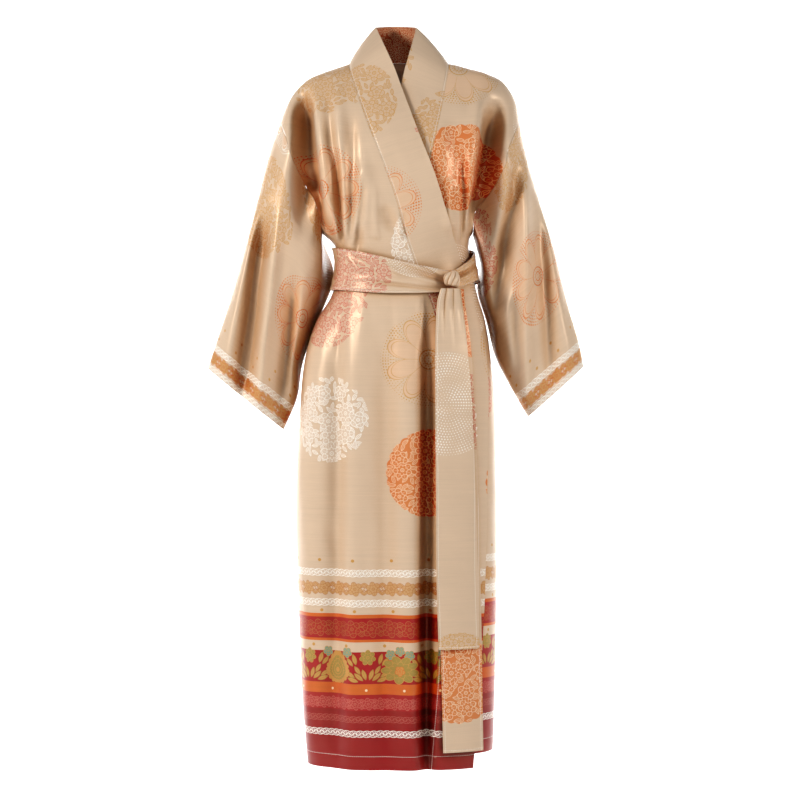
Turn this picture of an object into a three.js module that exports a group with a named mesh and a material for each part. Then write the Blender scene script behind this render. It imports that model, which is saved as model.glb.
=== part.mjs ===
// A long satin wrap kimono, worn closed with its own sash tied at the waist and hanging
// from its shoulders round an empty hollow. Millimetres, +Z up, the front faces -Y.
// The origin lies between the shoulders, where the neck of a wearer carries the weight.
// Left and right in the names are the wearer's: the wearer's right is at -X.
import * as THREE from "three";

// ---------------------------------------------------------------- driving sizes
const CLOTH = 2; // wall of the single cloth
const DOUBLED = 3; // wall of the doubled band and sash
const SEAM_GAP = 0.4; // between pieces that are sewn together
const OVERLAP_LIFT = 6; // how far the right front stands off the left front beneath it
const BACK_NECK_RISE = 12; // height of the back neck above the neck points
const ROUNDNESS = 0.92; // 1 is an ellipse, less is a squarer section

const NECK_Z = 10; // the neck points, where shoulder line and band meet
const ARMHOLE_TOP_Z = -94; // where the dropped shoulder seam starts
const ARMHOLE_FOOT_Z = -296; // the armhole's lowest point, just above the sash
const HEM_RIGHT_Z = -1244; // hem of the right front, which lies on top
const HEM_LEFT_Z = -1220; // hem of the left front

// Half widths and depths of the garment's level sections. Above ARMHOLE_TOP_Z the half
// width is the shoulder line itself.
const FIGURE = [
  { z: -1246, right: 166, left: 166, front: 100, back: 96 },
  { z: -1134, right: 175, left: 170, front: 101, back: 99 },
  { z: -972, right: 182, left: 173, front: 103, back: 103 },
  { z: -756, right: 187, left: 173, front: 106, back: 108 },
  { z: -594, right: 179, left: 170, front: 108, back: 108 },
  { z: -515, right: 170, left: 163, front: 106, back: 101 },
  { z: -451, right: 150, left: 153, front: 100, back: 89 },
  { z: -408, right: 124, left: 140, front: 94, back: 78 },
  { z: -360, right: 112, left: 129, front: 91, back: 72 },
  { z: -318, right: 117, left: 124, front: 96, back: 76 },
  { z: -296, right: 139, left: 130, front: 103, back: 84 },
  { z: -262, right: 184, left: 167, front: 112, back: 93 },
  { z: -200, right: 222, left: 214, front: 116, back: 96 },
  { z: -140, right: 223, left: 222, front: 110, back: 93 },
  { z: -94, right: 215, left: 215, front: 94, back: 86 },
  { z: -61, right: 202, left: 209, front: 77, back: 79 },
  { z: -40, right: 189, left: 199, front: 65, back: 75 },
  { z: -18, right: 166, left: 180, front: 52, back: 71 },
  { z: -7, right: 142, left: 154, front: 45, back: 69 },
  { z: 4, right: 110, left: 115, front: 37, back: 68 },
  { z: 10, right: 92, left: 88, front: 32, back: 67 },
  { z: 24, right: 74, left: 70, front: 20, back: 69 },
];

// The band's seam x and its free edge, by the height of the seam. From stand 0 to stand 1
// the band leaves the body and stands round the neck, with its free edge at ye.
const RIGHT_BAND = [
  { z: -1244, xs: 51, xe: 126, ze: -1244, ye: -90, stand: 0 },
  { z: -1060, xs: 65, xe: 140, ze: -1060, ye: -90, stand: 0 },
  { z: -830, xs: 74, xe: 149, ze: -830, ye: -90, stand: 0 },
  { z: -594, xs: 77, xe: 152, ze: -594, ye: -90, stand: 0 },
  { z: -505, xs: 72, xe: 146, ze: -499, ye: -90, stand: 0 },
  { z: -436, xs: 57, xe: 130, ze: -425, ye: -90, stand: 0 },
  { z: -380, xs: 36, xe: 109, ze: -364, ye: -90, stand: 0 },
  { z: -318, xs: 14, xe: 88, ze: -294, ye: -90, stand: 0 },
  { z: -231, xs: -11, xe: 63, ze: -206, ye: -90, stand: 0 },
  { z: -142, xs: -45, xe: 29, ze: -117, ye: -84, stand: 0 },
  { z: -72, xs: -70, xe: 4, ze: -47, ye: -78, stand: 0 },
  { z: -38, xs: -81, xe: -10, ze: -4, ye: -66, stand: 0.6 },
  { z: -14, xs: -88, xe: -27, ze: 36, ye: -42, stand: 1 },
  { z: 10, xs: -92, xe: -44, ze: 78, ye: 4, stand: 1 },
];
const LEFT_BAND = [
  { z: -1220, xs: -12, xe: -88, ze: -1220, ye: -90, stand: 0 },
  { z: -830, xs: -6, xe: -82, ze: -830, ye: -90, stand: 0 },
  { z: -594, xs: -4, xe: -80, ze: -594, ye: -90, stand: 0 },
  { z: -400, xs: 5, xe: -71, ze: -396, ye: -90, stand: 0 },
  { z: -318, xs: 21, xe: -55, ze: -302, ye: -90, stand: 0 },
  { z: -231, xs: 40, xe: -36, ze: -215, ye: -90, stand: 0 },
  { z: -146, xs: 59, xe: -17, ze: -130, ye: -80, stand: 0 },
  { z: -78, xs: 74, xe: -2, ze: -59, ye: -70, stand: 0 },
  { z: -38, xs: 81, xe: 7, ze: -12, ye: -58, stand: 0.6 },
  { z: -14, xs: 85, xe: 17, ze: 26, ye: -40, stand: 1 },
  { z: 10, xs: 88, xe: 30, ze: 77, ye: 4, stand: 1 },
];
// The band's free edge round the back of the neck is a half ellipse between the two ends
// above.
const NECK_BOW = 4; // how far the standing band bows out between its edges
const BACK_EDGE = { middle: -7, half: 37, y: 4, deep: 61, z: 77.5, rise: 11.5 };

// Each sleeve hangs between its top fold (xt, zt) and its under fold (xu, zu), from the
// armhole to the cuff, with its half depth to the front and to the back. Its back is
// tucked in behind the body's side by tuck.
const RIGHT_SLEEVE = [
  { xt: -215, zt: -94, xu: -139, zu: -296, front: 62, back: 56, tuck: 0 },
  { xt: -235, zt: -152, xu: -137, zu: -352, front: 58, back: 54, tuck: 32 },
  { xt: -256, zt: -232, xu: -143, zu: -404, front: 54, back: 51, tuck: 24 },
  { xt: -280, zt: -325, xu: -165, zu: -468, front: 50, back: 46, tuck: 18 },
  { xt: -305, zt: -412, xu: -183, zu: -530, front: 44, back: 41, tuck: 14 },
  { xt: -330, zt: -488, xu: -187, zu: -590, front: 38, back: 36, tuck: 6 },
  { xt: -346, zt: -537, xu: -209, zu: -647, front: 34, back: 33, tuck: 0 },
];
const LEFT_SLEEVE = [
  { xt: 215, zt: -94, xu: 130, zu: -296, front: 62, back: 56, tuck: 0 },
  { xt: 226, zt: -150, xu: 145, zu: -350, front: 58, back: 54, tuck: 4 },
  { xt: 248, zt: -226, xu: 152, zu: -402, front: 54, back: 51, tuck: 18 },
  { xt: 276, zt: -318, xu: 168, zu: -458, front: 50, back: 46, tuck: 18 },
  { xt: 300, zt: -414, xu: 175, zu: -516, front: 44, back: 41, tuck: 9 },
  { xt: 321, zt: -486, xu: 198, zu: -568, front: 38, back: 36, tuck: 2 },
  { xt: 331, zt: -533, xu: 230, zu: -624, front: 34, back: 33, tuck: 0 },
];
const TUCK_AT = { turn: 1.17 * Math.PI, wide: 0.42 }; // where round the ring it is deepest

// Folds, seen from the front or from the back: each runs from (x0, z0) to (x1, z1), half
// as wide as half, and stands out by rise. A negative rise is a trough.
const FRONT_FOLDS = [
  { x0: -176, z0: -30, x1: -150, z1: -286, half: 17, rise: -26 },
  { x0: -190, z0: -140, x1: -158, z1: -260, half: 16, rise: 10 },
  { x0: -150, z0: -45, x1: -120, z1: -270, half: 13, rise: 9 },
  { x0: -128, z0: -90, x1: -105, z1: -280, half: 12, rise: -8 },
  { x0: -112, z0: -20, x1: -96, z1: -300, half: 13, rise: 8 },
  { x0: -86, z0: -80, x1: -84, z1: -290, half: 12, rise: -8 },
  { x0: -60, z0: -170, x1: -70, z1: -300, half: 12, rise: 7 },
  { x0: -30, z0: -250, x1: -8, z1: -310, half: 10, rise: -6 },
  { x0: 166, z0: -50, x1: 134, z1: -288, half: 15, rise: -24 },
  { x0: 196, z0: -70, x1: 160, z1: -262, half: 12, rise: 9 },
  { x0: 140, z0: -50, x1: 118, z1: -270, half: 13, rise: 7 },
  { x0: 96, z0: -90, x1: 100, z1: -280, half: 14, rise: -6 },
  { x0: 92, z0: -200, x1: 84, z1: -300, half: 11, rise: 6 },
];
const SKIRT_FOLDS = [
  { x0: -150, z0: -430, x1: -158, z1: -1244, half: 20, rise: 5 },
  { x0: -112, z0: -420, x1: -122, z1: -1244, half: 18, rise: -6 },
  { x0: -80, z0: -410, x1: -84, z1: -1244, half: 20, rise: 6 },
  { x0: -30, z0: -410, x1: -28, z1: -1244, half: 24, rise: -5 },
  { x0: 14, z0: -420, x1: 16, z1: -1244, half: 20, rise: 5 },
  { x0: 50, z0: -440, x1: 46, z1: -1244, half: 15, rise: -8 },
  { x0: 118, z0: -470, x1: 112, z1: -1244, half: 18, rise: 3 },
];
const BACK_FOLDS = [
  { x0: -172, z0: -40, x1: -140, z1: -280, half: 18, rise: -22 },
  { x0: 172, z0: -40, x1: 136, z1: -280, half: 18, rise: -22 },
  { x0: -120, z0: -60, x1: -96, z1: -290, half: 15, rise: 9 },
  { x0: -66, z0: -130, x1: -54, z1: -300, half: 15, rise: -8 },
  { x0: -20, z0: -90, x1: -16, z1: -300, half: 16, rise: 8 },
  { x0: 30, z0: -140, x1: 26, z1: -300, half: 15, rise: -8 },
  { x0: 76, z0: -70, x1: 64, z1: -300, half: 15, rise: 9 },
  { x0: 124, z0: -70, x1: 98, z1: -280, half: 14, rise: 8 },
  { x0: -126, z0: -440, x1: -132, z1: -1244, half: 20, rise: 7 },
  { x0: -84, z0: -420, x1: -92, z1: -1244, half: 18, rise: -8 },
  { x0: -40, z0: -420, x1: -44, z1: -1244, half: 20, rise: 7 },
  { x0: 4, z0: -420, x1: 2, z1: -1244, half: 18, rise: -8 },
  { x0: 46, z0: -420, x1: 50, z1: -1244, half: 20, rise: 7 },
  { x0: 90, z0: -420, x1: 98, z1: -1244, half: 18, rise: -8 },
  { x0: 128, z0: -440, x1: 134, z1: -1244, half: 20, rise: 6 },
];
const SLEEVE_FRONT_FOLDS = [
  { x0: -236, z0: -280, x1: -290, z1: -590, half: 15, rise: -22 },
  { x0: -252, z0: -230, x1: -318, z1: -560, half: 12, rise: 7 },
  { x0: -206, z0: -230, x1: -246, z1: -620, half: 15, rise: 9 },
  { x0: -182, z0: -380, x1: -214, z1: -590, half: 12, rise: -9 },
  { x0: 200, z0: -150, x1: 178, z1: -400, half: 15, rise: -20 },
  { x0: 222, z0: -200, x1: 222, z1: -600, half: 13, rise: 9 },
  { x0: 176, z0: -300, x1: 196, z1: -520, half: 14, rise: 6 },
  { x0: 244, z0: -260, x1: 272, z1: -580, half: 13, rise: -8 },
  { x0: 262, z0: -300, x1: 306, z1: -540, half: 12, rise: 6 },
];
const SLEEVE_BACK_FOLDS = [
  { x0: -226, z0: -220, x1: -278, z1: -600, half: 16, rise: -18 },
  { x0: -196, z0: -240, x1: -236, z1: -620, half: 14, rise: 8 },
  { x0: -262, z0: -300, x1: -318, z1: -560, half: 12, rise: 7 },
  { x0: 222, z0: -200, x1: 266, z1: -590, half: 16, rise: -18 },
  { x0: 190, z0: -240, x1: 226, z1: -600, half: 14, rise: 8 },
  { x0: 254, z0: -300, x1: 304, z1: -540, half: 12, rise: 7 },
];

// The sash round the waist: its edges by the angle from the front, in degrees.
const SASH = [
  { angle: -180, top: -316, foot: -398, lift: 5 },
  { angle: -125, top: -318, foot: -398, lift: 5.5 },
  { angle: -90, top: -318, foot: -399, lift: 7 },
  { angle: -50, top: -325, foot: -402, lift: 10 },
  { angle: -15, top: -340, foot: -407, lift: 12 },
  { angle: 15, top: -358, foot: -407, lift: 12 },
  { angle: 38, top: -366, foot: -402, lift: 13 },
  { angle: 56, top: -352, foot: -390, lift: 14 },
  { angle: 76, top: -335, foot: -382, lift: 12 },
  { angle: 100, top: -324, foot: -386, lift: 9 },
  { angle: 135, top: -317, foot: -394, lift: 5 },
  { angle: 180, top: -316, foot: -398, lift: 5 },
];
const KNOT = { x: 80, z: -385, lift: 26, wide: 15, high: 14, deep: 11 };

// The two hanging tails: left and right edges and how far each stands off the front.
const FRONT_TAIL = [
  { z: -399, from: 72, to: 106, lift: 27 },
  { z: -420, from: 66, to: 109, lift: 25 },
  { z: -460, from: 63, to: 114, lift: 23 },
  { z: -500, from: 62, to: 118, lift: 21 },
  { z: -594, from: 62, to: 126, lift: 19 },
  { z: -760, from: 63, to: 133, lift: 18 },
  { z: -900, from: 64, to: 137, lift: 18 },
  { z: -1031, from: 68, to: 140, lift: 18 },
];
const BACK_TAIL = [
  { z: -399, from: 82, to: 112, lift: 19 },
  { z: -420, from: 78, to: 114, lift: 16 },
  { z: -460, from: 76, to: 120, lift: 13 },
  { z: -500, from: 75, to: 125, lift: 13 },
  { z: -594, from: 73, to: 131, lift: 13 },
  { z: -760, from: 71, to: 138, lift: 13 },
  { z: -960, from: 71, to: 143, lift: 13 },
  { z: -1212, from: 76, to: 147, lift: 13 },
];
const TAIL_HANGS_FROM_Z = -590; // below this the tails hang plumb, clear of the skirt

// Rows and columns of each piece's grid.
const UPPER_ROWS = 14;
const SKIRT_ROWS = 14;
const FRONT_COLUMNS = 16;
const BACK_COLUMNS = 26;
const BAND_COLUMNS = 3;
const NECK_ROWS = 6;
const SLEEVE_ROWS = 12;
const SASH_COLUMNS = 44;
const SASH_ROWS = 3;
const TAIL_ROWS = 12;
const TAIL_COLUMNS = 4;
const KNOT_ROWS = 9;
const KNOT_COLUMNS = 20;

// ---------------------------------------------------------------- small tools
const QUARTER = Math.PI / 2;
const radians = THREE.MathUtils.degToRad;
const lerp = THREE.MathUtils.lerp;
const clamp = THREE.MathUtils.clamp;
const smooth = (t) => THREE.MathUtils.smoothstep(t, 0, 1);
const cosine = (t) => (1 - Math.cos(Math.PI * t)) / 2; // even steps round a half circle
const vector = (x, y, z) => new THREE.Vector3(x, y, z);

// A smooth curve through one column of a table, read by another column.
function column(table, by, name) {
  const rows = [...table].sort((a, b) => a[by] - b[by]);
  const slope = (i) => {
    const a = rows[Math.max(i - 1, 0)];
    const b = rows[Math.min(i + 1, rows.length - 1)];
    return (b[name] - a[name]) / (b[by] - a[by]);
  };
  return (value) => {
    const v = clamp(value, rows[0][by], rows[rows.length - 1][by]);
    let i = 0;
    while (i < rows.length - 2 && v > rows[i + 1][by]) i += 1;
    const [a, b] = [rows[i], rows[i + 1]];
    const step = b[by] - a[by];
    const t = (v - a[by]) / step;
    const [t2, t3] = [t * t, t * t * t];
    return (
      (2 * t3 - 3 * t2 + 1) * a[name] +
      (t3 - 2 * t2 + t) * step * slope(i) +
      (3 * t2 - 2 * t3) * b[name] +
      (t3 - t2) * step * slope(i + 1)
    );
  };
}

// How far a list of folds moves the cloth at (x, z): each is a soft ridge or trough that
// fades out at its two ends.
function foldRise(folds, x, z) {
  return folds.reduce((sum, f) => {
    const [dx, dz] = [f.x1 - f.x0, f.z1 - f.z0];
    const long = dx * dx + dz * dz;
    const t = ((x - f.x0) * dx + (z - f.z0) * dz) / long;
    const across = ((x - f.x0) * dz - (z - f.z0) * dx) / Math.sqrt(long) / f.half;
    const fade = smooth((t + 0.05) / 0.3) * smooth((1.1 - t) / 0.3);
    return sum + f.rise * Math.exp(-across * across) * fade;
  }, 0);
}

// The unit normal of a surface point(u, v), found from its neighbours.
function normalOf(point, u, v, step) {
  const alongU = point(u + step, v).sub(point(u - step, v));
  const alongV = point(u, v + step).sub(point(u, v - step));
  return alongU.cross(alongV).normalize();
}

// ---------------------------------------------------------------- the figure's surface
const rightHalf = column(FIGURE, "z", "right");
const leftHalf = column(FIGURE, "z", "left");
const frontDepth = column(FIGURE, "z", "front");
const backDepth = column(FIGURE, "z", "back");
const rounded = (v) => Math.sign(v) * Math.abs(v) ** ROUNDNESS;

// The point at an angle round the section, 0 at the front and 90 degrees at the +X side.
function sectionPoint(angle, z) {
  const half = Math.sin(angle) < 0 ? rightHalf(z) : leftHalf(z);
  const depth = Math.cos(angle) > 0 ? frontDepth(z) : backDepth(z);
  return vector(half * rounded(Math.sin(angle)), -depth * rounded(Math.cos(angle)), z);
}

// The outward direction of the figure's surface there.
function sectionNormal(angle, z) {
  const turn = radians(2);
  const rise = 3;
  const around = sectionPoint(angle + turn, z).sub(sectionPoint(angle - turn, z));
  const up = sectionPoint(angle, z + rise).sub(sectionPoint(angle, z - rise));
  return around.cross(up).normalize();
}

// The angle at which the section at height z has that x, on the front or the back.
function angleOf(x, z, back) {
  const half = x < 0 ? rightHalf(z) : leftHalf(z);
  const share = clamp(Math.abs(x) / half, 0, 1);
  const angle = Math.asin(share ** (1 / ROUNDNESS)) * (x < 0 ? -1 : 1);
  return back ? Math.PI - angle : angle;
}

// Folds of the body's cloth die out under the sash, which presses it flat.
const SASH_PRESS = { top: -312, foot: -404, fade: 34 };
function bodyRise(x, z, back) {
  const away = Math.max(z - SASH_PRESS.top, SASH_PRESS.foot - z);
  const free = smooth(away / SASH_PRESS.fade);
  if (back) return free * foldRise(BACK_FOLDS, x, z);
  return free * foldRise(z > SASH_PRESS.top ? FRONT_FOLDS : SKIRT_FOLDS, x, z);
}

// A place on the body's cloth, lift above the figure's surface, with its normal. Front and
// back meet on the figure's surface itself, along the side seams and the shoulders.
function onBody(x, z, back, lift) {
  const angle = angleOf(x, z, back);
  const normal = sectionNormal(angle, z);
  const fromSeam = smooth(Math.abs(Math.cos(angle)) / 0.4);
  const rise = fromSeam * (lift + bodyRise(x, z, back));
  return { point: sectionPoint(angle, z).addScaledVector(normal, rise), normal };
}

// The right front lies over the left one, so it stands off the figure, apart from its
// side seam, its armhole and its neck point.
function overlapLift(x, z) {
  const acrossFront = smooth((x + 128) / 46);
  const belowNeck = smooth((NECK_Z - z) / 62);
  return OVERLAP_LIFT * acrossFront * belowNeck;
}
const noLift = () => 0;

// ---------------------------------------------------------------- walls
// A closed wall of cloth on a grid of rows + 1 by columns + 1 places. Each place has the
// point on the outer face and an offset to the inner one. A grid that loops joins its last
// column to its first.
function wall(rows, columns, placeAt, loops = false) {
  const across = loops ? columns : columns + 1;
  const outer = [];
  const inner = [];
  for (let i = 0; i <= rows; i += 1)
    for (let j = 0; j < across; j += 1) {
      const { point, offset } = placeAt(i, j);
      outer.push(...point.toArray());
      inner.push(...point.clone().add(offset).toArray());
    }
  const innerStart = (rows + 1) * across;
  const at = (i, j) => i * across + (loops ? j % columns : j);
  const faces = [];
  const quad = (a, b, c, d) => faces.push(a, b, c, a, c, d);
  const rim = (a, b) => quad(b, a, innerStart + a, innerStart + b);
  for (let i = 0; i < rows; i += 1)
    for (let j = 0; j < columns; j += 1) {
      const [a, b, c, d] = [at(i, j), at(i, j + 1), at(i + 1, j + 1), at(i + 1, j)];
      quad(a, b, c, d);
      quad(innerStart + d, innerStart + c, innerStart + b, innerStart + a);
    }
  for (let j = 0; j < columns; j += 1) {
    rim(at(0, j), at(0, j + 1));
    rim(at(rows, j + 1), at(rows, j));
  }
  for (let i = 0; i < rows && !loops; i += 1) {
    rim(at(i + 1, 0), at(i, 0));
    rim(at(i, columns), at(i + 1, columns));
  }
  return facingOut([...outer, ...inner], faces);
}

// The geometry of a closed mesh, with its faces turned outwards.
function facingOut(places, faces) {
  const corner = (i) => new THREE.Vector3().fromArray(places, 3 * faces[i]);
  let volume = 0;
  for (let i = 0; i < faces.length; i += 3)
    volume += corner(i).dot(corner(i + 1).cross(corner(i + 2)));
  if (volume < 0)
    for (let i = 0; i < faces.length; i += 3)
      [faces[i + 1], faces[i + 2]] = [faces[i + 2], faces[i + 1]];
  const geometry = new THREE.BufferGeometry();
  geometry.setAttribute("position", new THREE.Float32BufferAttribute(places, 3));
  geometry.setIndex(faces);
  geometry.computeVertexNormals();
  return geometry;
}

// ---------------------------------------------------------------- body panels
const ROWS = SKIRT_ROWS + UPPER_ROWS;

// The height of a row of the skirt, with close rows at the waist and wide ones below.
const skirtZ = (hemZ, i) => lerp(ARMHOLE_FOOT_Z, hemZ, (1 - i / SKIRT_ROWS) ** 1.8);

// The shoulder line from the armhole's top to the neck point, in about even steps.
function shoulderPoint(share, side, half) {
  const z = lerp(ARMHOLE_TOP_Z, NECK_Z, 1 - (1 - share) ** 1.9);
  return { x: side * half(z), z };
}

// The armhole seam, straight in front view, from its foot to its top.
function armholePoint(up, side, half) {
  const x = side * lerp(half(ARMHOLE_FOOT_Z), half(ARMHOLE_TOP_Z), up);
  return { x, z: lerp(ARMHOLE_FOOT_Z, ARMHOLE_TOP_Z, up) };
}

// The back neck line, from the right neck point to the left one.
function neckLine(share) {
  const x = lerp(-rightHalf(NECK_Z), leftHalf(NECK_Z), share);
  return { x, z: NECK_Z + BACK_NECK_RISE * (1 - (2 * share - 1) ** 2) };
}

// A place inside four boundary lines of the front view, by its shares across and up.
function between(across, up, foot, top, start, end) {
  const mix = (key) => {
    const low = lerp(foot(0)[key], foot(1)[key], across);
    const high = lerp(top(0)[key], top(1)[key], across);
    const upright = lerp(foot(across)[key], top(across)[key], up);
    const level = lerp(start(up)[key], end(up)[key], across);
    return upright + level - lerp(low, high, up);
  };
  return { x: mix("x"), z: mix("z") };
}

// A front panel: its side seam and armhole at share 0, its band seam at share 1.
function frontPanel(side, half, band, hemZ, liftAt) {
  const seamX = column(band, "z", "xs");
  const level = (share, z) => {
    const angle = lerp(side * QUARTER, angleOf(seamX(z), z, false), share);
    return { x: sectionPoint(angle, z).x, z };
  };
  const seam = (up) => {
    const z = lerp(ARMHOLE_FOOT_Z, NECK_Z, up);
    return { x: seamX(z), z };
  };
  const flat = (i, share) => {
    if (i <= SKIRT_ROWS) return level(share, skirtZ(hemZ, i));
    return between(
      share,
      cosine((i - SKIRT_ROWS) / UPPER_ROWS),
      (s) => level(s, ARMHOLE_FOOT_Z),
      (s) => shoulderPoint(s, side, half),
      (up) => armholePoint(up, side, half),
      seam,
    );
  };
  return wall(ROWS, FRONT_COLUMNS, (i, j) => {
    const { x, z } = flat(i, j / FRONT_COLUMNS);
    const { point, normal } = onBody(x, z, false, liftAt(x, z));
    return { point, offset: normal.multiplyScalar(-CLOTH) };
  });
}

// The back panel, from the right side seam to the left one.
function backPanel() {
  const shoulder = 0.32; // the share that each shoulder line takes of the panel's top
  const top = (share) => {
    if (share < shoulder) return shoulderPoint(share / shoulder, -1, rightHalf);
    if (share > 1 - shoulder) return shoulderPoint((1 - share) / shoulder, 1, leftHalf);
    return neckLine(cosine((share - shoulder) / (1 - 2 * shoulder)));
  };
  const level = (share, z) => {
    return { x: sectionPoint(lerp(-QUARTER, -3 * QUARTER, share), z).x, z };
  };
  const flat = (i, share) => {
    const hemZ = lerp(HEM_RIGHT_Z, HEM_LEFT_Z, smooth(share));
    if (i <= SKIRT_ROWS) return level(share, skirtZ(hemZ, i));
    return between(
      share,
      cosine((i - SKIRT_ROWS) / UPPER_ROWS),
      (s) => level(s, ARMHOLE_FOOT_Z),
      top,
      (up) => armholePoint(up, -1, rightHalf),
      (up) => armholePoint(up, 1, leftHalf),
    );
  };
  return wall(ROWS, BACK_COLUMNS, (i, j) => {
    const { x, z } = flat(i, j / BACK_COLUMNS);
    const { point, normal } = onBody(x, z, true, 0);
    point.y += SEAM_GAP;
    return { point, offset: normal.multiplyScalar(-CLOTH) };
  });
}

// ---------------------------------------------------------------- neck and front bands
// A place on a band that stands between its seam and its free edge, bowed outward a little.
function standing(seam, edge, share, outward) {
  const bow = NECK_BOW * Math.sin(Math.PI * share);
  return seam.clone().lerp(edge, share).addScaledVector(outward, bow);
}

// A place on the band round the back of the neck, by its turn from the right neck point
// to the left one and its share from the seam to the free edge.
function roundNeck(turn, share) {
  const line = neckLine(cosine(turn));
  const seam = onBody(line.x, line.z, true, 0);
  const sweep = Math.PI * turn;
  const edge = vector(
    BACK_EDGE.middle - BACK_EDGE.half * Math.cos(sweep),
    BACK_EDGE.y + BACK_EDGE.deep * Math.sin(sweep),
    BACK_EDGE.z + BACK_EDGE.rise * Math.sin(sweep),
  );
  const outward = vector(-Math.cos(sweep), Math.sin(sweep), 0);
  const point = standing(seam.point, edge, share, outward);
  return { point, normal: seam.normal, stand: 1 };
}

// The wall of a band whose places are given by rows and by shares across.
function bandWall(rows, start, placed) {
  return wall(rows, BAND_COLUMNS, (i, j) => {
    const share = lerp(start, 1, j / BAND_COLUMNS);
    const { point, normal, stand } = placed(i, share);
    const row = Math.max(i, 0.2);
    const own = normalOf((u, w) => placed(u, w).point, row, share, 0.1);
    own.multiplyScalar(Math.sign(own.dot(normal)) || 1);
    normal.lerp(own, stand).normalize();
    return { point, offset: normal.multiplyScalar(-DOUBLED) };
  });
}
const BAND_START = SEAM_GAP / 70; // the share at which a band's seam edge lies

// A band sewn to a front panel's edge, row by row, from the hem to the neck point.
function frontBand(side, table, hemZ, liftAt) {
  const read = Object.fromEntries(
    ["xs", "xe", "ze", "ye", "stand"].map((name) => [name, column(table, "z", name)]),
  );
  const seamRowZ = (i) => {
    if (i <= SKIRT_ROWS) return skirtZ(hemZ, i);
    return lerp(ARMHOLE_FOOT_Z, NECK_Z, cosine((i - SKIRT_ROWS) / UPPER_ROWS));
  };
  return bandWall(ROWS, BAND_START, (i, share) => {
    if (i > ROWS) {
      const turn = (i - ROWS) / NECK_ROWS / 2;
      return roundNeck(side < 0 ? turn : 1 - turn, share);
    }
    const z = seamRowZ(i);
    const [x, ze] = [lerp(read.xs(z), read.xe(z), share), lerp(z, read.ze(z), share)];
    const lying = onBody(x, ze, false, liftAt(x, ze));
    const stand = clamp(read.stand(z), 0, 1);
    if (stand === 0) return { ...lying, stand };
    const seam = onBody(read.xs(z), z, false, liftAt(read.xs(z), z)).point;
    const edge = vector(read.xe(z), read.ye(z), read.ze(z));
    lying.point.lerp(standing(seam, edge, share, vector(side, 0, 0)), stand);
    return { ...lying, stand };
  });
}

// The band round the back of the neck, between the ends of the two front bands.
function neckBand() {
  const end = SEAM_GAP / 100;
  const turnAt = (i) => lerp(end, 1 - end, i / (2 * NECK_ROWS));
  return bandWall(2 * NECK_ROWS, BAND_START, (i, share) => roundNeck(turnAt(i), share));
}

// ---------------------------------------------------------------- sleeves
// A sleeve: rings from the armhole to the cuff. Each ring runs from the top fold down the
// front to the under fold and up the back.
function sleeve(side, half, table) {
  const numbered = table.map((row, i) => ({ ...row, share: i / (table.length - 1) }));
  const read = Object.fromEntries(
    ["xt", "zt", "xu", "zu", "front", "back", "tuck"].map((name) => [
      name,
      column(numbered, "share", name),
    ]),
  );
  const chord = (share, up) =>
    vector(lerp(read.xu(share), read.xt(share), up), 0, lerp(read.zu(share), read.zt(share), up));
  const outward = chord(0, 1).sub(chord(0, 0)).cross(vector(0, -side, 0)).normalize();
  const point = (share, turn) => {
    const up = (1 + Math.cos(turn)) / 2;
    const back = Math.sin(turn) < -1e-9;
    const middle = chord(share, up);
    const profile = Math.abs(Math.sin(turn)) ** 0.9;
    const folds = back ? SLEEVE_BACK_FOLDS : SLEEVE_FRONT_FOLDS;
    const rise = foldRise(folds, middle.x, middle.z) * Math.min(1, 1.6 * profile);
    const deep = (back ? read.back(share) : read.front(share)) * profile + rise;
    const tucked = Math.exp(-(((turn - TUCK_AT.turn) / TUCK_AT.wide) ** 2));
    const inward = -side * read.tuck(share) * tucked;
    const hanging = middle.clone().add(vector(inward, back ? deep : -deep, 0));
    const { x, z } = armholePoint(up, side, half);
    const sewn = onBody(x, z, back, 0).point.sub(chord(0, up));
    if (back) sewn.y += SEAM_GAP;
    const joined = middle.add(sewn).addScaledVector(outward, 2 * SEAM_GAP);
    return joined.lerp(hanging, smooth(share / 0.34));
  };
  const columns = 2 * UPPER_ROWS;
  return wall(
    SLEEVE_ROWS,
    columns,
    (i, j) => {
      const share = i / SLEEVE_ROWS;
      const turn = (2 * Math.PI * j) / columns;
      const middle = chord(share, 0.5);
      const place = point(share, turn);
      const normal = normalOf(point, clamp(share, 0.02, 0.98), turn, 0.02);
      normal.multiplyScalar(Math.sign(normal.dot(place.clone().sub(middle))) || 1);
      if (i === 0) {
        normal.addScaledVector(outward, -Math.max(0, normal.dot(outward)));
        normal.divideScalar(Math.max(0.3, normal.lengthSq()));
      }
      return { point: place, offset: normal.multiplyScalar(-CLOTH) };
    },
    true,
  );
}

// ---------------------------------------------------------------- sash, knot and tails
function sash() {
  const [top, foot, lift] = ["top", "foot", "lift"].map((n) => column(SASH, "angle", n));
  return wall(
    SASH_ROWS,
    SASH_COLUMNS,
    (i, j) => {
      const degrees = -180 + (360 * j) / SASH_COLUMNS;
      const angle = radians(degrees);
      const z = lerp(foot(degrees), top(degrees), i / SASH_ROWS);
      const normal = sectionNormal(angle, z);
      const point = sectionPoint(angle, z).addScaledVector(normal, lift(degrees));
      return { point, offset: normal.multiplyScalar(-DOUBLED) };
    },
    true,
  );
}

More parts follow.
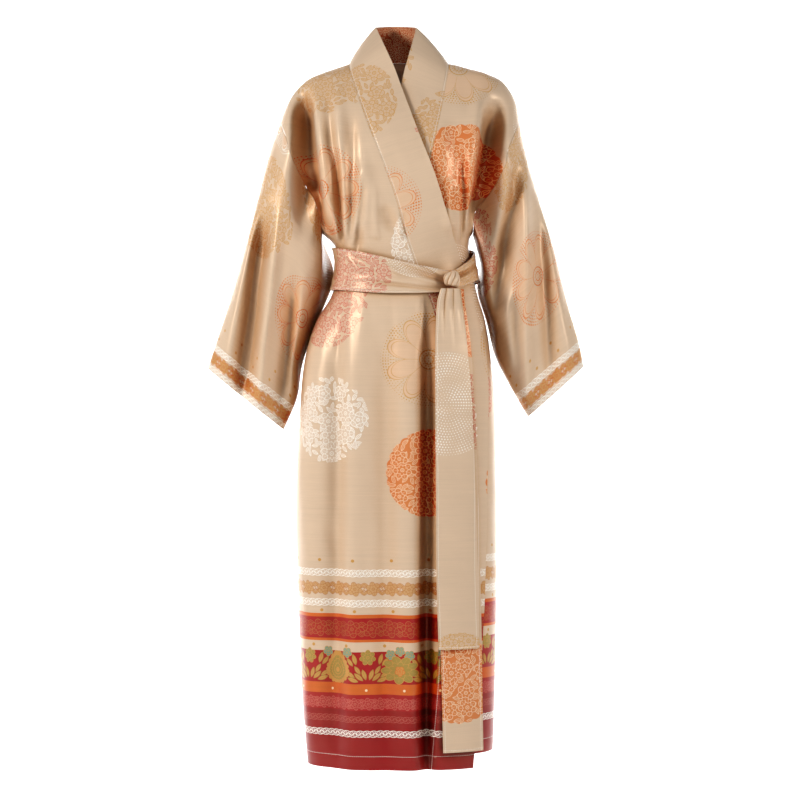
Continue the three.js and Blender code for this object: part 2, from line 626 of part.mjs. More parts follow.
// The knot: a rounded lump with the wrap's soft ridges running over it.
function knot() {
  const angle = angleOf(KNOT.x, KNOT.z, false);
  const out = sectionNormal(angle, KNOT.z);
  const middle = sectionPoint(angle, KNOT.z).addScaledVector(out, KNOT.lift);
  const across = vector(-out.y, out.x, 0).normalize();
  const up = out.clone().cross(across).normalize();
  const places = [];
  const put = (high, turn) => {
    const ring = Math.cos(high) ** 0.7;
    const ridge = 1 + 0.06 * Math.cos(5 * turn);
    const side = KNOT.wide * ring * ridge * Math.cos(turn);
    const deep = KNOT.deep * ring * ridge * Math.sin(turn);
    const rise = KNOT.high * Math.sin(high);
    const point = middle.clone().addScaledVector(across, side);
    point.addScaledVector(out, deep).addScaledVector(up, rise);
    places.push(...point.toArray());
  };
  put(-QUARTER, 0);
  for (let i = 1; i < KNOT_ROWS; i += 1)
    for (let j = 0; j < KNOT_COLUMNS; j += 1)
      put(lerp(-QUARTER, QUARTER, i / KNOT_ROWS), (2 * Math.PI * j) / KNOT_COLUMNS);
  put(QUARTER, 0);
  const last = 1 + (KNOT_ROWS - 1) * KNOT_COLUMNS;
  const at = (i, j) => 1 + (i - 1) * KNOT_COLUMNS + (j % KNOT_COLUMNS);
  const faces = [];
  for (let j = 0; j < KNOT_COLUMNS; j += 1) {
    faces.push(0, at(1, j + 1), at(1, j));
    faces.push(last, at(KNOT_ROWS - 1, j), at(KNOT_ROWS - 1, j + 1));
    for (let i = 1; i < KNOT_ROWS - 1; i += 1) {
      faces.push(at(i, j), at(i, j + 1), at(i + 1, j + 1));
      faces.push(at(i, j), at(i + 1, j + 1), at(i + 1, j));
    }
  }
  return facingOut(places, faces);
}

// A tail hangs down the front from the knot, gathered there and opening out below.
function tail(table, pleat) {
  const z0 = table[0].z;
  const z1 = table[table.length - 1].z;
  const [from, to, lift] = ["from", "to", "lift"].map((n) => column(table, "z", n));
  return wall(TAIL_ROWS, TAIL_COLUMNS, (i, j) => {
    const z = lerp(z1, z0, 1 - (1 - i / TAIL_ROWS) ** 1.5);
    const share = j / TAIL_COLUMNS;
    const x = lerp(from(z), to(z), share);
    const level = Math.max(z, TAIL_HANGS_FROM_Z);
    const angle = angleOf(x, level, false);
    const normal = sectionNormal(angle, level).setZ(0).normalize();
    const gathered = smooth((z + 560) / 120) * pleat * Math.cos(4 * Math.PI * share);
    const forward = (lift(z) + gathered) / Math.max(0.55, -normal.y);
    const point = sectionPoint(angle, level).setZ(z).add(vector(0, -forward, 0));
    return { point, offset: normal.multiplyScalar(-DOUBLED) };
  });
}

// ---------------------------------------------------------------- the garment
const group = new THREE.Group();
group.name = "wrap_kimono";

function add(name, geometry, color) {
  const material = new THREE.MeshStandardMaterial({ color, roughness: 0.5 });
  const mesh = new THREE.Mesh(geometry, material);
  mesh.name = name;
  group.add(mesh);
}

const SATIN = 0xd9c3a6;
const BORDER = 0xc2704a;
add("back", backPanel(), SATIN);
add("front_right", frontPanel(-1, rightHalf, RIGHT_BAND, HEM_RIGHT_Z, overlapLift), SATIN);
add("front_left", frontPanel(1, leftHalf, LEFT_BAND, HEM_LEFT_Z, noLift), SATIN);
add("band_right", frontBand(-1, RIGHT_BAND, HEM_RIGHT_Z, overlapLift), BORDER);
add("band_left", frontBand(1, LEFT_BAND, HEM_LEFT_Z, noLift), BORDER);
add("band_neck", neckBand(), BORDER);
add("sleeve_right", sleeve(-1, rightHalf, RIGHT_SLEEVE), SATIN);
add("sleeve_left", sleeve(1, leftHalf, LEFT_SLEEVE), SATIN);
add("sash_wrap", sash(), BORDER);
add("sash_knot", knot(), BORDER);
add("sash_tail_front", tail(FRONT_TAIL, 2), BORDER);
add("sash_tail_back", tail(BACK_TAIL, 1), SATIN);

export default group;
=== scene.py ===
"""A long printed satin wrap kimono, worn closed with its own sash and filled out, empty.

The garment hangs round the hollow of a general figure. Level sections give the figure's
surface, folds move the cloth along its normals, and each cut piece is a grid on it. Tables
and lengths for the form are in millimetres; everything in Blender is in metres. The front
faces -Y, and left and right in the names are the wearer's, so the wearer's right is -X.
"""

import math

import bpy
import numpy as np
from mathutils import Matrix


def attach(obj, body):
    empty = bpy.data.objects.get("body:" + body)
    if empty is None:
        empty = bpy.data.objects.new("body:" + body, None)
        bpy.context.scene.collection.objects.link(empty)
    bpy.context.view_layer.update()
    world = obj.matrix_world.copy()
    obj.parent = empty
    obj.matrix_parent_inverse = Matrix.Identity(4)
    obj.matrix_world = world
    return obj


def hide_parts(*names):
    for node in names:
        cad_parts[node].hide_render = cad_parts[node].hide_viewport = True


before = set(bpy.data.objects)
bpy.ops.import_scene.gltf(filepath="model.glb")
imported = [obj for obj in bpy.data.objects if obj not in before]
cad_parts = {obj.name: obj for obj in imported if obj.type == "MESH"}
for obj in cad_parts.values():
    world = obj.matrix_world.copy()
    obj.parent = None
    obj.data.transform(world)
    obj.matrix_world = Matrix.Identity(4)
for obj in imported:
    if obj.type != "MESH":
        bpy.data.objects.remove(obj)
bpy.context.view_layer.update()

MM = 0.001

# ------------------------------------------------------------------ driving sizes, mm
CLOTH = 1.1  # wall of the single cloth
DOUBLED = 2.4  # wall of the doubled band and sash
SEAM_GAP = 0.25  # between pieces that are sewn together
OVERLAP_LIFT = 6  # how far the right front stands off the left front beneath it
OVERLAP_FROM_X = -128  # the lift starts there, and below the neck points
OVERLAP_EASE = {"x": 46, "z": 62}  # how much further on it is whole
BACK_NECK_RISE = 12  # height of the back neck above the neck points
ROUNDNESS = 0.92  # 1 is an ellipse, less is a squarer section
NECK_Z = 10  # the neck points, where shoulder line and band meet
ARMHOLE_TOP_Z = -94  # where the dropped shoulder seam starts
ARMHOLE_FOOT_Z = -296  # the armhole's lowest point, just above the sash
HEM_RIGHT_Z = -1244  # hem of the right front, which lies on top
HEM_LEFT_Z = -1220  # hem of the left front
TAIL_HANGS_FROM_Z = -590  # below this the tails hang plumb, clear of the skirt
NECK_BOW = 4  # how far the standing band bows out between its edges
BAND_WIDTH = 78
RIGHT_BAND_LENGTH = 1367  # from its hem to the neck point, where the neck band goes on
SASH_WIDTH = 80


def table(columns, *rows):
    """Rows of numbers under named columns, as a dictionary of arrays."""
    return dict(zip(columns.split(), np.array(rows, float).T))


# Half widths and depths of the garment's level sections. Above ARMHOLE_TOP_Z the half
# width is the shoulder line itself.
FIGURE = table(
    "z right left front back",
    (-1246, 166, 166, 100, 96),
    (-1134, 175, 170, 101, 99),
    (-972, 182, 173, 103, 103),
    (-756, 187, 173, 106, 108),
    (-594, 179, 170, 108, 108),
    (-515, 170, 163, 106, 101),
    (-451, 150, 153, 100, 89),
    (-408, 124, 140, 94, 78),
    (-360, 112, 129, 91, 72),
    (-318, 117, 124, 96, 76),
    (-296, 139, 130, 103, 84),
    (-262, 184, 167, 112, 93),
    (-200, 222, 214, 116, 96),
    (-140, 223, 222, 110, 93),
    (-94, 215, 215, 94, 86),
    (-61, 202, 209, 77, 79),
    (-40, 189, 199, 65, 75),
    (-18, 166, 180, 52, 71),
    (-7, 142, 154, 45, 69),
    (4, 110, 115, 37, 68),
    (10, 92, 88, 32, 67),
    (24, 74, 70, 20, 69),
)

# The band's seam x and its free edge, by the height of the seam. From stand 0 to stand 1
# the band leaves the body and stands round the neck, with its free edge at ye.
RIGHT_BAND = table(
    "z xs xe ze ye stand",
    (-1244, 51, 126, -1244, -90, 0),
    (-1060, 65, 140, -1060, -90, 0),
    (-830, 74, 149, -830, -90, 0),
    (-594, 77, 152, -594, -90, 0),
    (-505, 72, 146, -499, -90, 0),
    (-436, 57, 130, -425, -90, 0),
    (-380, 36, 109, -364, -90, 0),
    (-318, 14, 88, -294, -90, 0),
    (-231, -11, 63, -206, -90, 0),
    (-142, -45, 29, -117, -84, 0),
    (-72, -70, 4, -47, -78, 0),
    (-38, -81, -10, -4, -66, 0.6),
    (-14, -88, -27, 36, -42, 1),
    (10, -92, -44, 78, 4, 1),
)
LEFT_BAND = table(
    "z xs xe ze ye stand",
    (-1220, -12, -88, -1220, -90, 0),
    (-830, -6, -82, -830, -90, 0),
    (-594, -4, -80, -594, -90, 0),
    (-400, 5, -71, -396, -90, 0),
    (-318, 21, -55, -302, -90, 0),
    (-231, 40, -36, -215, -90, 0),
    (-146, 59, -17, -130, -80, 0),
    (-78, 74, -2, -59, -70, 0),
    (-38, 81, 7, -12, -58, 0.6),
    (-14, 85, 17, 26, -40, 1),
    (10, 88, 30, 77, 4, 1),
)
# The band's free edge round the back of the neck is a half ellipse between the two ends
# above.
BACK_EDGE = {"middle": -7, "half": 37, "y": 4, "deep": 61, "z": 77.5, "rise": 11.5}

# Each sleeve hangs between its top fold (xt, zt) and its under fold (xu, zu), from the
# armhole to the cuff, with its half depth to the front and to the back. Its back is
# tucked in behind the body's side by tuck.
RIGHT_SLEEVE = table(
    "xt zt xu zu front back tuck",
    (-215, -94, -139, -296, 62, 56, 0),
    (-235, -152, -137, -352, 58, 54, 32),
    (-256, -232, -143, -404, 54, 51, 24),
    (-280, -325, -165, -468, 50, 46, 18),
    (-305, -412, -183, -530, 44, 41, 14),
    (-330, -488, -187, -590, 38, 36, 6),
    (-346, -537, -209, -647, 34, 33, 0),
)
LEFT_SLEEVE = table(
    "xt zt xu zu front back tuck",
    (215, -94, 130, -296, 62, 56, 0),
    (226, -150, 145, -350, 58, 54, 4),
    (248, -226, 152, -402, 54, 51, 18),
    (276, -318, 168, -458, 50, 46, 18),
    (300, -414, 175, -516, 44, 41, 9),
    (321, -486, 198, -568, 38, 36, 2),
    (331, -533, 230, -624, 34, 33, 0),
)
TUCK_AT = {"turn": 1.17 * math.pi, "wide": 0.42}  # where round the ring it is deepest

# Folds, seen from the front or from the back: each runs from (x0, z0) to (x1, z1), half
# as wide as half, and stands out by rise. A negative rise is a trough.
FRONT_FOLDS = table(
    "x0 z0 x1 z1 half rise",
    (-176, -30, -150, -286, 17, -26),
    (-192, -120, -150, -280, 13, 12),
    (-150, -45, -120, -270, 13, 9),
    (-128, -90, -105, -280, 12, -8),
    (-112, -20, -96, -300, 13, 8),
    (-86, -80, -84, -290, 12, -8),
    (-60, -170, -70, -300, 12, 7),
    (-30, -250, -8, -310, 10, -6),
    (166, -50, 134, -288, 15, -24),
    (190, -150, 150, -280, 9, 12),
    (140, -50, 118, -270, 13, 7),
    (96, -90, 100, -280, 14, -6),
    (92, -200, 84, -300, 11, 6),
)
SKIRT_FOLDS = table(
    "x0 z0 x1 z1 half rise",
    (-150, -430, -158, -1244, 20, 5),
    (-112, -420, -122, -1244, 18, -6),
    (-80, -410, -84, -1244, 20, 6),
    (-30, -410, -28, -1244, 24, -5),
    (14, -420, 16, -1244, 20, 5),
    (50, -440, 46, -1244, 15, -8),
    (118, -470, 112, -1244, 18, 3),
)
BACK_FOLDS = table(
    "x0 z0 x1 z1 half rise",
    (-172, -40, -140, -280, 18, -22),
    (172, -40, 136, -280, 18, -22),
    (-120, -60, -96, -290, 15, 9),
    (-66, -130, -54, -300, 15, -8),
    (-20, -90, -16, -300, 16, 8),
    (30, -140, 26, -300, 15, -8),
    (76, -70, 64, -300, 15, 9),
    (124, -70, 98, -280, 14, 8),
    (-126, -440, -132, -1244, 20, 7),
    (-84, -420, -92, -1244, 18, -8),
    (-40, -420, -44, -1244, 20, 7),
    (4, -420, 2, -1244, 18, -8),
    (46, -420, 50, -1244, 20, 7),
    (90, -420, 98, -1244, 18, -8),
    (128, -440, 134, -1244, 20, 6),
)
SLEEVE_FRONT_FOLDS = table(
    "x0 z0 x1 z1 half rise",
    (-240, -250, -286, -600, 16, -32),
    (-252, -230, -318, -560, 12, 7),
    (-214, -240, -254, -620, 11, 12),
    (-190, -380, -214, -600, 13, -16),
    (-170, -360, -196, -560, 9, 6),
    (202, -130, 178, -430, 16, -34),
    (224, -160, 224, -600, 10, 12),
    (180, -330, 200, -540, 12, 8),
    (246, -240, 272, -580, 13, -14),
    (262, -300, 306, -540, 12, 6),
)
SLEEVE_BACK_FOLDS = table(
    "x0 z0 x1 z1 half rise",
    (-226, -220, -278, -600, 16, -18),
    (-196, -240, -236, -620, 14, 8),
    (-262, -300, -318, -560, 12, 7),
    (222, -200, 266, -590, 16, -18),
    (190, -240, 226, -600, 14, 8),
    (254, -300, 304, -540, 12, 7),
)
# Small gathers that only show close to: they fan out from the sash on both faces.
GATHERS = table(
    "x0 z0 x1 z1 half rise",
    (-128, -215, -104, -318, 5, 3.0),
    (-114, -190, -98, -318, 5, -3.5),
    (-98, -200, -92, -318, 4.5, 3.5),
    (-84, -225, -86, -318, 5, -2.5),
    (-44, -215, -40, -322, 6, 2.5),
    (-6, -255, 6, -330, 5, 3.0),
    (4, -262, 12, -330, 4, -3.0),
    (104, -190, 104, -320, 5, 2.5),
    (116, -205, 110, -320, 5, -3.0),
    (84, -240, 80, -330, 5, 2.0),
    (-96, -400, -112, -520, 7, -2.0),
    (-60, -402, -66, -540, 9, 1.8),
    (-14, -404, -12, -520, 8, -1.8),
    (34, -404, 38, -500, 7, 1.6),
    (128, -398, 144, -500, 6, -2.0),
)

# Deep hollows of the front, where the cloth sinks straight back between body and sleeve and
# beside the sash's tails; here rise is how far it sinks.
HOLLOWS = table(
    "x0 z0 x1 z1 half rise",
    (-184, -40, -166, -236, 14, 44),
    (-166, -180, -124, -330, 13, 32),
    (-112, -150, -98, -330, 7, 12),
    (-60, -200, -72, -330, 7, 9),
    (178, -60, 138, -320, 14, 46),
    (112, -150, 110, -330, 7, 10),
    (49, -436, 46, -1280, 12, 24),
    (-20, -436, -26, -1280, 18, 6),
    (-100, -440, -108, -1280, 16, 8),
)

# The sash round the waist: its edges by the angle from the front, in degrees.
SASH = table(
    "angle top foot lift",
    (-180, -316, -398, 5),
    (-125, -318, -398, 5.5),
    (-90, -318, -399, 7),
    (-50, -325, -402, 10),
    (-15, -340, -407, 12),
    (15, -358, -407, 12),
    (38, -366, -402, 13),
    (56, -352, -390, 14),
    (76, -335, -382, 12),
    (100, -324, -386, 9),
    (135, -317, -394, 5),
    (180, -316, -398, 5),
)
KNOT = {"x": 80, "z": -385, "lift": 26, "wide": 15, "high": 14, "deep": 11}
KNOT_ROUNDNESS = (0.34, 0.62)  # below and above its middle: less is squarer
KNOT_LEAN = 0.55  # how far its pleats turn round it from the middle to the top
KNOT_WALL = 0.45  # share of the way to its middle that its cloth is thick
KNOT_INWARD = 0.55  # share of its depth on the side that lies on the sash
KNOT_ON_CLOTH = 195  # how far along the sash's cloth the knot's print is read

# The two hanging tails: left and right edges and how far each stands off the front.
FRONT_TAIL = table(
    "z from to lift",
    (-399, 72, 106, 27),
    (-420, 66, 109, 25),
    (-460, 63, 114, 23),
    (-500, 62, 118, 21),
    (-594, 62, 126, 19),
    (-760, 63, 133, 18),
    (-900, 64, 137, 18),
    (-1031, 68, 140, 18),
)
BACK_TAIL = table(
    "z from to lift",
    (-399, 82, 112, 19),
    (-420, 78, 114, 16),
    (-460, 76, 120, 13),
    (-500, 75, 125, 13),
    (-594, 73, 131, 13),
    (-760, 71, 138, 13),
    (-960, 71, 143, 13),
    (-1212, 76, 147, 13),
)

# Rows and columns of each piece's grid.
UPPER_ROWS = 90
SKIRT_ROWS = 130
ROWS = SKIRT_ROWS + UPPER_ROWS
FRONT_COLUMNS = 116
BACK_COLUMNS = 150
BAND_COLUMNS = 16
NECK_ROWS = 44
SLEEVE_ROWS = 110
SLEEVE_COLUMNS = 2 * UPPER_ROWS
SASH_COLUMNS = 260
SASH_ROWS = 48
KNOT_ROWS = 64
KNOT_COLUMNS = 192
TAIL_ROWS = 200
TAIL_COLUMNS = 32


# ------------------------------------------------------------------ small tools
TURN = 2 * math.pi
QUARTER = TURN / 4
FOLD_ENDS, FOLD_FADE = (-0.05, 1.1), 0.3


def lerp(a, b, t):
    """The straight mix of a and b."""
    return a + (b - a) * t


def smooth(t):
    """An S-shaped step from 0 to 1."""
    t = np.clip(t, 0, 1)
    return t * t * (3 - 2 * t)


def cosine(t):
    """Even steps round a half circle."""
    return (1 - np.cos(np.pi * t)) / 2


def column(source, by, name):
    """A smooth curve through one column of a table, read by another column.

    Each stretch is a cubic whose slopes at its ends are those between the two
    neighbouring rows.
    """
    order = np.argsort(source[by])
    x, y = source[by][order], source[name][order]
    low = np.maximum(np.arange(len(x)) - 1, 0)
    high = np.minimum(np.arange(len(x)) + 1, len(x) - 1)
    slope = (y[high] - y[low]) / (x[high] - x[low])

    def read(value):
        v = np.clip(value, x[0], x[-1])
        i = np.clip(np.searchsorted(x, v, side="right") - 1, 0, len(x) - 2)
        step = x[i + 1] - x[i]
        t = (v - x[i]) / step
        return (
            (2 * t**3 - 3 * t**2 + 1) * y[i]
            + (t**3 - 2 * t**2 + t) * step * slope[i]
            + (3 * t**2 - 2 * t**3) * y[i + 1]
            + (t**3 - t**2) * step * slope[i + 1]
        )

    return read


def columns_of(source, by, names):
    """Several columns of a table as curves, by name."""
    return {name: column(source, by, name) for name in names.split()}


def fold_rise(folds, x, z):
    """How far a table of folds moves the cloth at (x, z), seen from the front.

    Each fold is a bell curve across its line, faded out towards FOLD_ENDS, which are
    shares of its length.
    """
    total = np.zeros(np.broadcast(x, z).shape)
    for x0, z0, x1, z1, half, rise in zip(*folds.values()):
        long = math.hypot(x1 - x0, z1 - z0)
        dx, dz = (x1 - x0) / long, (z1 - z0) / long
        t = ((x - x0) * dx + (z - z0) * dz) / long
        across = ((x - x0) * dz - (z - z0) * dx) / half
        fade = smooth((t - FOLD_ENDS[0]) / FOLD_FADE) * smooth((FOLD_ENDS[1] - t) / FOLD_FADE)
        total += rise * np.exp(-(across**2)) * fade
    return total


def vectors(x, y, z):
    """Three grids of coordinates as one grid of points."""
    return np.stack(np.broadcast_arrays(x, y, z), -1).astype(float)


def unit(v):
    """Vectors of the same direction, one long."""
    return v / np.maximum(np.linalg.norm(v, axis=-1, keepdims=True), 1e-9)


def dot(a, b):
    """The dot products of two grids of vectors, keeping the last axis."""
    return np.sum(a * b, -1, keepdims=True)


def outward_normals(points, outwards, loops=False):
    """The unit normals of a grid, turned as one to the side that outwards points to.

    Each is the cross product of the steps between its place's neighbours, both ways.
    """
    if loops:
        ring = points[:, :-1]
        along = np.roll(ring, -1, 1) - np.roll(ring, 1, 1)
        along = np.concatenate([along, along[:, :1]], 1)
    else:
        along = np.gradient(points, axis=1)
    normal = unit(np.cross(np.gradient(points, axis=0), along))
    return normal * np.sign(np.sum(normal * outwards))


def ripple(x, z, wide, long, seed):
    """Soft random undulation between about -1 and 1, wide across and long along z.

    Random heights on a lattice are joined by S-shaped steps in both directions.
    """
    heights = np.random.default_rng(seed).uniform(-1, 1, (64, 64))
    u, v = x / wide + 21.3, z / long + 43.7
    i, j = np.floor(u).astype(int), np.floor(v).astype(int)
    s, t = smooth(u - i), smooth(v - j)
    low = lerp(heights[i % 64, j % 64], heights[(i + 1) % 64, j % 64], s)
    high = lerp(heights[i % 64, (j + 1) % 64], heights[(i + 1) % 64, (j + 1) % 64], s)
    return lerp(low, high, t)


def ripples(waves, x, z, seed):
    """Several ripples added up: each wave is its height, lean, width and length."""
    added = 0
    for k, (height, lean, wide, long) in enumerate(waves):
        added = added + height * ripple(x + lean * z, z, wide, long, seed + k)
    return added


# ------------------------------------------------------------------ the figure's surface
HALF = {-1: column(FIGURE, "z", "right"), 1: column(FIGURE, "z", "left")}
FRONT_DEPTH = column(FIGURE, "z", "front")
BACK_DEPTH = column(FIGURE, "z", "back")
SASH_PRESS = {"top": -312, "foot": -404, "fade": 34}  # the sash flattens the folds here
GATHERS_FADE = 8  # the gathers run closer up to the sash
BODY_RIPPLES = ((1.3, 0, 26, 150), (0.7, 0.35, 17, 90))
SEAM_EASE = 0.4  # how far forward or back, as a share, the folds grow from a side seam
HOLLOWS_FROM, HOLLOWS_EASE = 0.25, 0.4  # the same for the hollows, in front only


def rounded(v):
    """A sine or cosine squared off by the section's roundness."""
    return np.sign(v) * np.abs(v) ** ROUNDNESS


def section_point(angle, z):
    """The point at an angle round the section, 0 in front and a quarter turn at +X."""
    half = np.where(np.sin(angle) < 0, HALF[-1](z), HALF[1](z))
    depth = np.where(np.cos(angle) > 0, FRONT_DEPTH(z), BACK_DEPTH(z))
    return vectors(
        half * rounded(np.sin(angle)),
        -depth * rounded(np.cos(angle)),
        z,
    )


def section_normal(angle, z):
    """The outward direction of the figure's surface there, from nearby points."""
    turn, rise = math.radians(2), 3
    around = section_point(angle + turn, z) - section_point(angle - turn, z)
    up = section_point(angle, z + rise) - section_point(angle, z - rise)
    return unit(np.cross(around, up))


def angle_of(x, z, back):
    """The angle at which the section at height z has that x, on the front or back."""
    half = np.where(x < 0, HALF[-1](z), HALF[1](z))
    share = np.clip(np.abs(x) / half, 0, 1)
    angle = np.arcsin(share ** (1 / ROUNDNESS)) * np.where(x < 0, -1, 1)
    return np.pi - angle if back else angle


def body_rise(x, z, back):
    """How far the folds of the body's cloth stand out. They die out under the sash."""
    away = np.maximum(z - SASH_PRESS["top"], SASH_PRESS["foot"] - z)
    free = smooth(away / SASH_PRESS["fade"])
    fine = ripples(BODY_RIPPLES, x, z, 50 if back else 10)
    if back:
        return free * (fold_rise(BACK_FOLDS, x, z) + fine)
    above = fold_rise(FRONT_FOLDS, x, z)
    below = fold_rise(SKIRT_FOLDS, x, z)
    gathered = fold_rise(GATHERS, x, z) * smooth(away / GATHERS_FADE)
    return free * (np.where(z > SASH_PRESS["top"], above, below) + fine) + gathered


def on_body(x, z, back, lift):
    """Places on the body's cloth, lift above the figure's surface, with their normals.

    Front and back meet on the figure's surface, along side seams and shoulders.
    """
    angle = angle_of(x, z, back)
    normal = section_normal(angle, z)
    from_seam = smooth(np.abs(np.cos(angle)) / SEAM_EASE)
    rise = from_seam * (lift + body_rise(x, z, back))
    place = section_point(angle, z) + normal * rise[..., None]
    if not back:
        facing = smooth((np.cos(angle) - HOLLOWS_FROM) / HOLLOWS_EASE)
        place[..., 1] += facing * fold_rise(HOLLOWS, x, z)
    return place, normal


def overlap_lift(x, z):
    """How far the right front stands off to clear the left one that it lies over."""
    across = smooth((x - OVERLAP_FROM_X) / OVERLAP_EASE["x"])
    down = smooth((NECK_Z - z) / OVERLAP_EASE["z"])
    return OVERLAP_LIFT * across * down


def no_lift(x, z):
    """The left front lies on the figure itself."""
    return np.zeros(np.broadcast(x, z).shape)


# ------------------------------------------------------------------ walls of cloth
def wall(name, outer, offset, maps, loops=False):
    """A closed wall of cloth between a grid of points and the same grid moved by offset.

    maps gives each UV map's name with its u and v grids, in metres of flat cloth. A grid
    that loops repeats its first column as its last, with UVs of its own.
    """
    rows, columns = outer.shape[0] - 1, outer.shape[1] - 1
    across = columns if loops else columns + 1
    row, step = np.indices((rows + 1, columns + 1))
    shift = (rows + 1) * across
    faces, corners = [], []

    def add(a, b, c, d):
        """Quads on places of the grid; a place is its row, its column and its side."""
        ids = [(r * across + k % across + shift * side) for r, k, side in (a, b, c, d)]
        uvs = [r * (columns + 1) + k for r, k, _ in (a, b, c, d)]
        faces.append(np.stack(ids, -1).reshape(-1, 4))
        corners.append(np.stack(uvs, -1).reshape(-1, 4))

    r, k = row[:-1, :-1], step[:-1, :-1]
    for side, flip in ((0, False), (1, True)):
        ring = [(r, k, side), (r, k + 1, side), (r + 1, k + 1, side), (r + 1, k, side)]
        add(*(ring[::-1] if flip else ring))
    edges = [((0 * k[0], k[0]), (0 * k[0], k[0] + 1))]
    edges.append(((0 * k[0] + rows, k[0] + 1), (0 * k[0] + rows, k[0])))
    if not loops:
        down = r[:, 0]
        edges.append(((down + 1, 0 * down), (down, 0 * down)))
        edges.append(((down, 0 * down + columns), (down + 1, 0 * down + columns)))
    for p, q in edges:
        add((*q, 0), (*p, 0), (*p, 1), (*q, 1))
    sides = [side[:, :across].reshape(-1, 3) for side in (outer, outer + offset)]
    points = np.concatenate(sides) * MM
    inside = np.repeat([0, 1, 0], [len(faces[0]), len(faces[1]), sum(map(len, faces[2:]))])
    faces, corners = np.concatenate(faces), np.concatenate(corners)
    return mesh_object(name, points, faces, corners, inside, maps)


def mesh_object(name, points, faces, corners, inside, maps):
    """A smooth object from points and quads, with its faces turned outwards.

    inside marks the faces of the cloth's wrong side, which have the second material.

    Six times the closed volume is the sum of p . (q x r) + p . (r x s) over its quads; if
    it is negative, every face is turned over.
    """
    p, q, r, s = (points[faces[:, k]] for k in range(4))
    if np.sum(p * (np.cross(q, r) + np.cross(r, s))) < 0:
        faces, corners = faces[:, ::-1], corners[:, ::-1]
    mesh = bpy.data.meshes.new(name)
    mesh.from_pydata(points.tolist(), [], faces.tolist())
    mesh.polygons.foreach_set("use_smooth", np.ones(len(faces), bool))
    mesh.polygons.foreach_set("material_index", inside)
    for map_name, (u, v) in maps.items():
        flat = np.stack([np.ravel(u), np.ravel(v)], -1)[corners.ravel()]
        mesh.uv_layers.new(name=map_name).data.foreach_set("uv", flat.ravel())
    mesh.set_sharp_from_angle(angle=math.radians(60))
    mesh.update()
    made = bpy.data.objects.new(name, mesh)
    bpy.context.scene.collection.objects.link(made)
    return made


def length_along(points, axis):
    """The length from the start of a grid to each of its points, along one axis."""
    steps = np.linalg.norm(np.diff(points, axis=axis), axis=-1)
    start = np.zeros_like(np.take(steps, [0], axis))
    return np.concatenate([start, np.cumsum(steps, axis)], axis)


def arc_length(angle, z, back):
    """The length round the level section from its middle, in front or behind, signed."""
    start = np.pi if back else 0.0
    share = np.linspace(0, 1, 13)[:, None, None]
    arc = section_point(start + share * (angle - start), z + 0 * share)
    long = np.sum(np.linalg.norm(np.diff(arc, axis=0), axis=-1), 0)
    return long * np.where(np.sin(angle) < 0, -1, 1)


def rise_length(z, depth):
    """How much longer the cloth is than it is high, from the chest up to a height z.

    It is the integral of sqrt(1 + depth'(z)^2) - 1 over the height.
    """
    levels = np.linspace(-140, 24, 160)
    steps = np.hypot(np.diff(levels), np.diff(depth(levels))) - np.diff(levels)
    return np.interp(z, levels, np.concatenate([[0], np.cumsum(steps)]))


def maps_of(u, v, print_at):
    """The two UV maps, in metres: the cloth's own, and the printed pattern's."""
    return {
        "cloth": (u * MM, v * MM),
        "print": (u * MM + print_at[0], v * MM + print_at[1]),
    }


# ------------------------------------------------------------------ body panels
def skirt_z(hem_z, row):
    """The height of a row of the skirt, with close rows at the waist and wide below."""
    return lerp(ARMHOLE_FOOT_Z, hem_z, np.maximum(0, 1 - row / SKIRT_ROWS) ** 1.25)


def upper_share(row):
    """How far up its armhole or neck edge a row of the upper body lies."""
    return cosine((row - SKIRT_ROWS) / UPPER_ROWS)


def shoulder_point(share, side):
    """The shoulder line from the armhole's top to the neck point, in even steps."""
    z = lerp(ARMHOLE_TOP_Z, NECK_Z, 1 - (1 - share) ** 1.9)
    return side * HALF[side](z), z


def armhole_point(up, side):
    """The armhole seam, straight in front view, from its foot to its top."""
    foot, top = HALF[side](ARMHOLE_FOOT_Z), HALF[side](ARMHOLE_TOP_Z)
    return side * lerp(foot, top, up), lerp(ARMHOLE_FOOT_Z, ARMHOLE_TOP_Z, up)


def neck_line(share):
    """The back neck line, from the right neck point to the left one."""
    x = lerp(-HALF[-1](NECK_Z), HALF[1](NECK_Z), share)
    return x, NECK_Z + BACK_NECK_RISE * (1 - (2 * share - 1) ** 2)


def between(across, up, foot, top, start, end):
    """Places inside four boundary lines of the front view, by shares across and up.

    A Coons patch: the straight mixes of both pairs of opposite lines, less the straight
    mix of the four corners.
    """
    place = []
    for axis in range(2):
        low = lerp(foot(0.0)[axis], foot(1.0)[axis], across)
        high = lerp(top(0.0)[axis], top(1.0)[axis], across)
        upright = lerp(foot(across)[axis], top(across)[axis], up)
        level = lerp(start(up)[axis], end(up)[axis], across)
        place.append(upright + level - lerp(low, high, up))
    return place


def panel_grid(level, top, start, end, hem_z, columns):
    """The front view's x and z on a panel's grid: level rows up to the armhole's foot,
    then a patch between the panel's upper edges."""
    share = np.linspace(0, 1, columns + 1)[None, :]
    row = np.arange(ROWS + 1.0)[:, None]
    lower, upper = row[: SKIRT_ROWS + 1], row[SKIRT_ROWS + 1 :]
    skirt = level(share, skirt_z(hem_z, lower) + 0 * share)
    foot_level = lambda s: level(s, ARMHOLE_FOOT_Z + 0 * s)
    patch = between(share, upper_share(upper), foot_level, top, start, end)
    return [np.concatenate([low, high]) for low, high in zip(skirt, patch)]


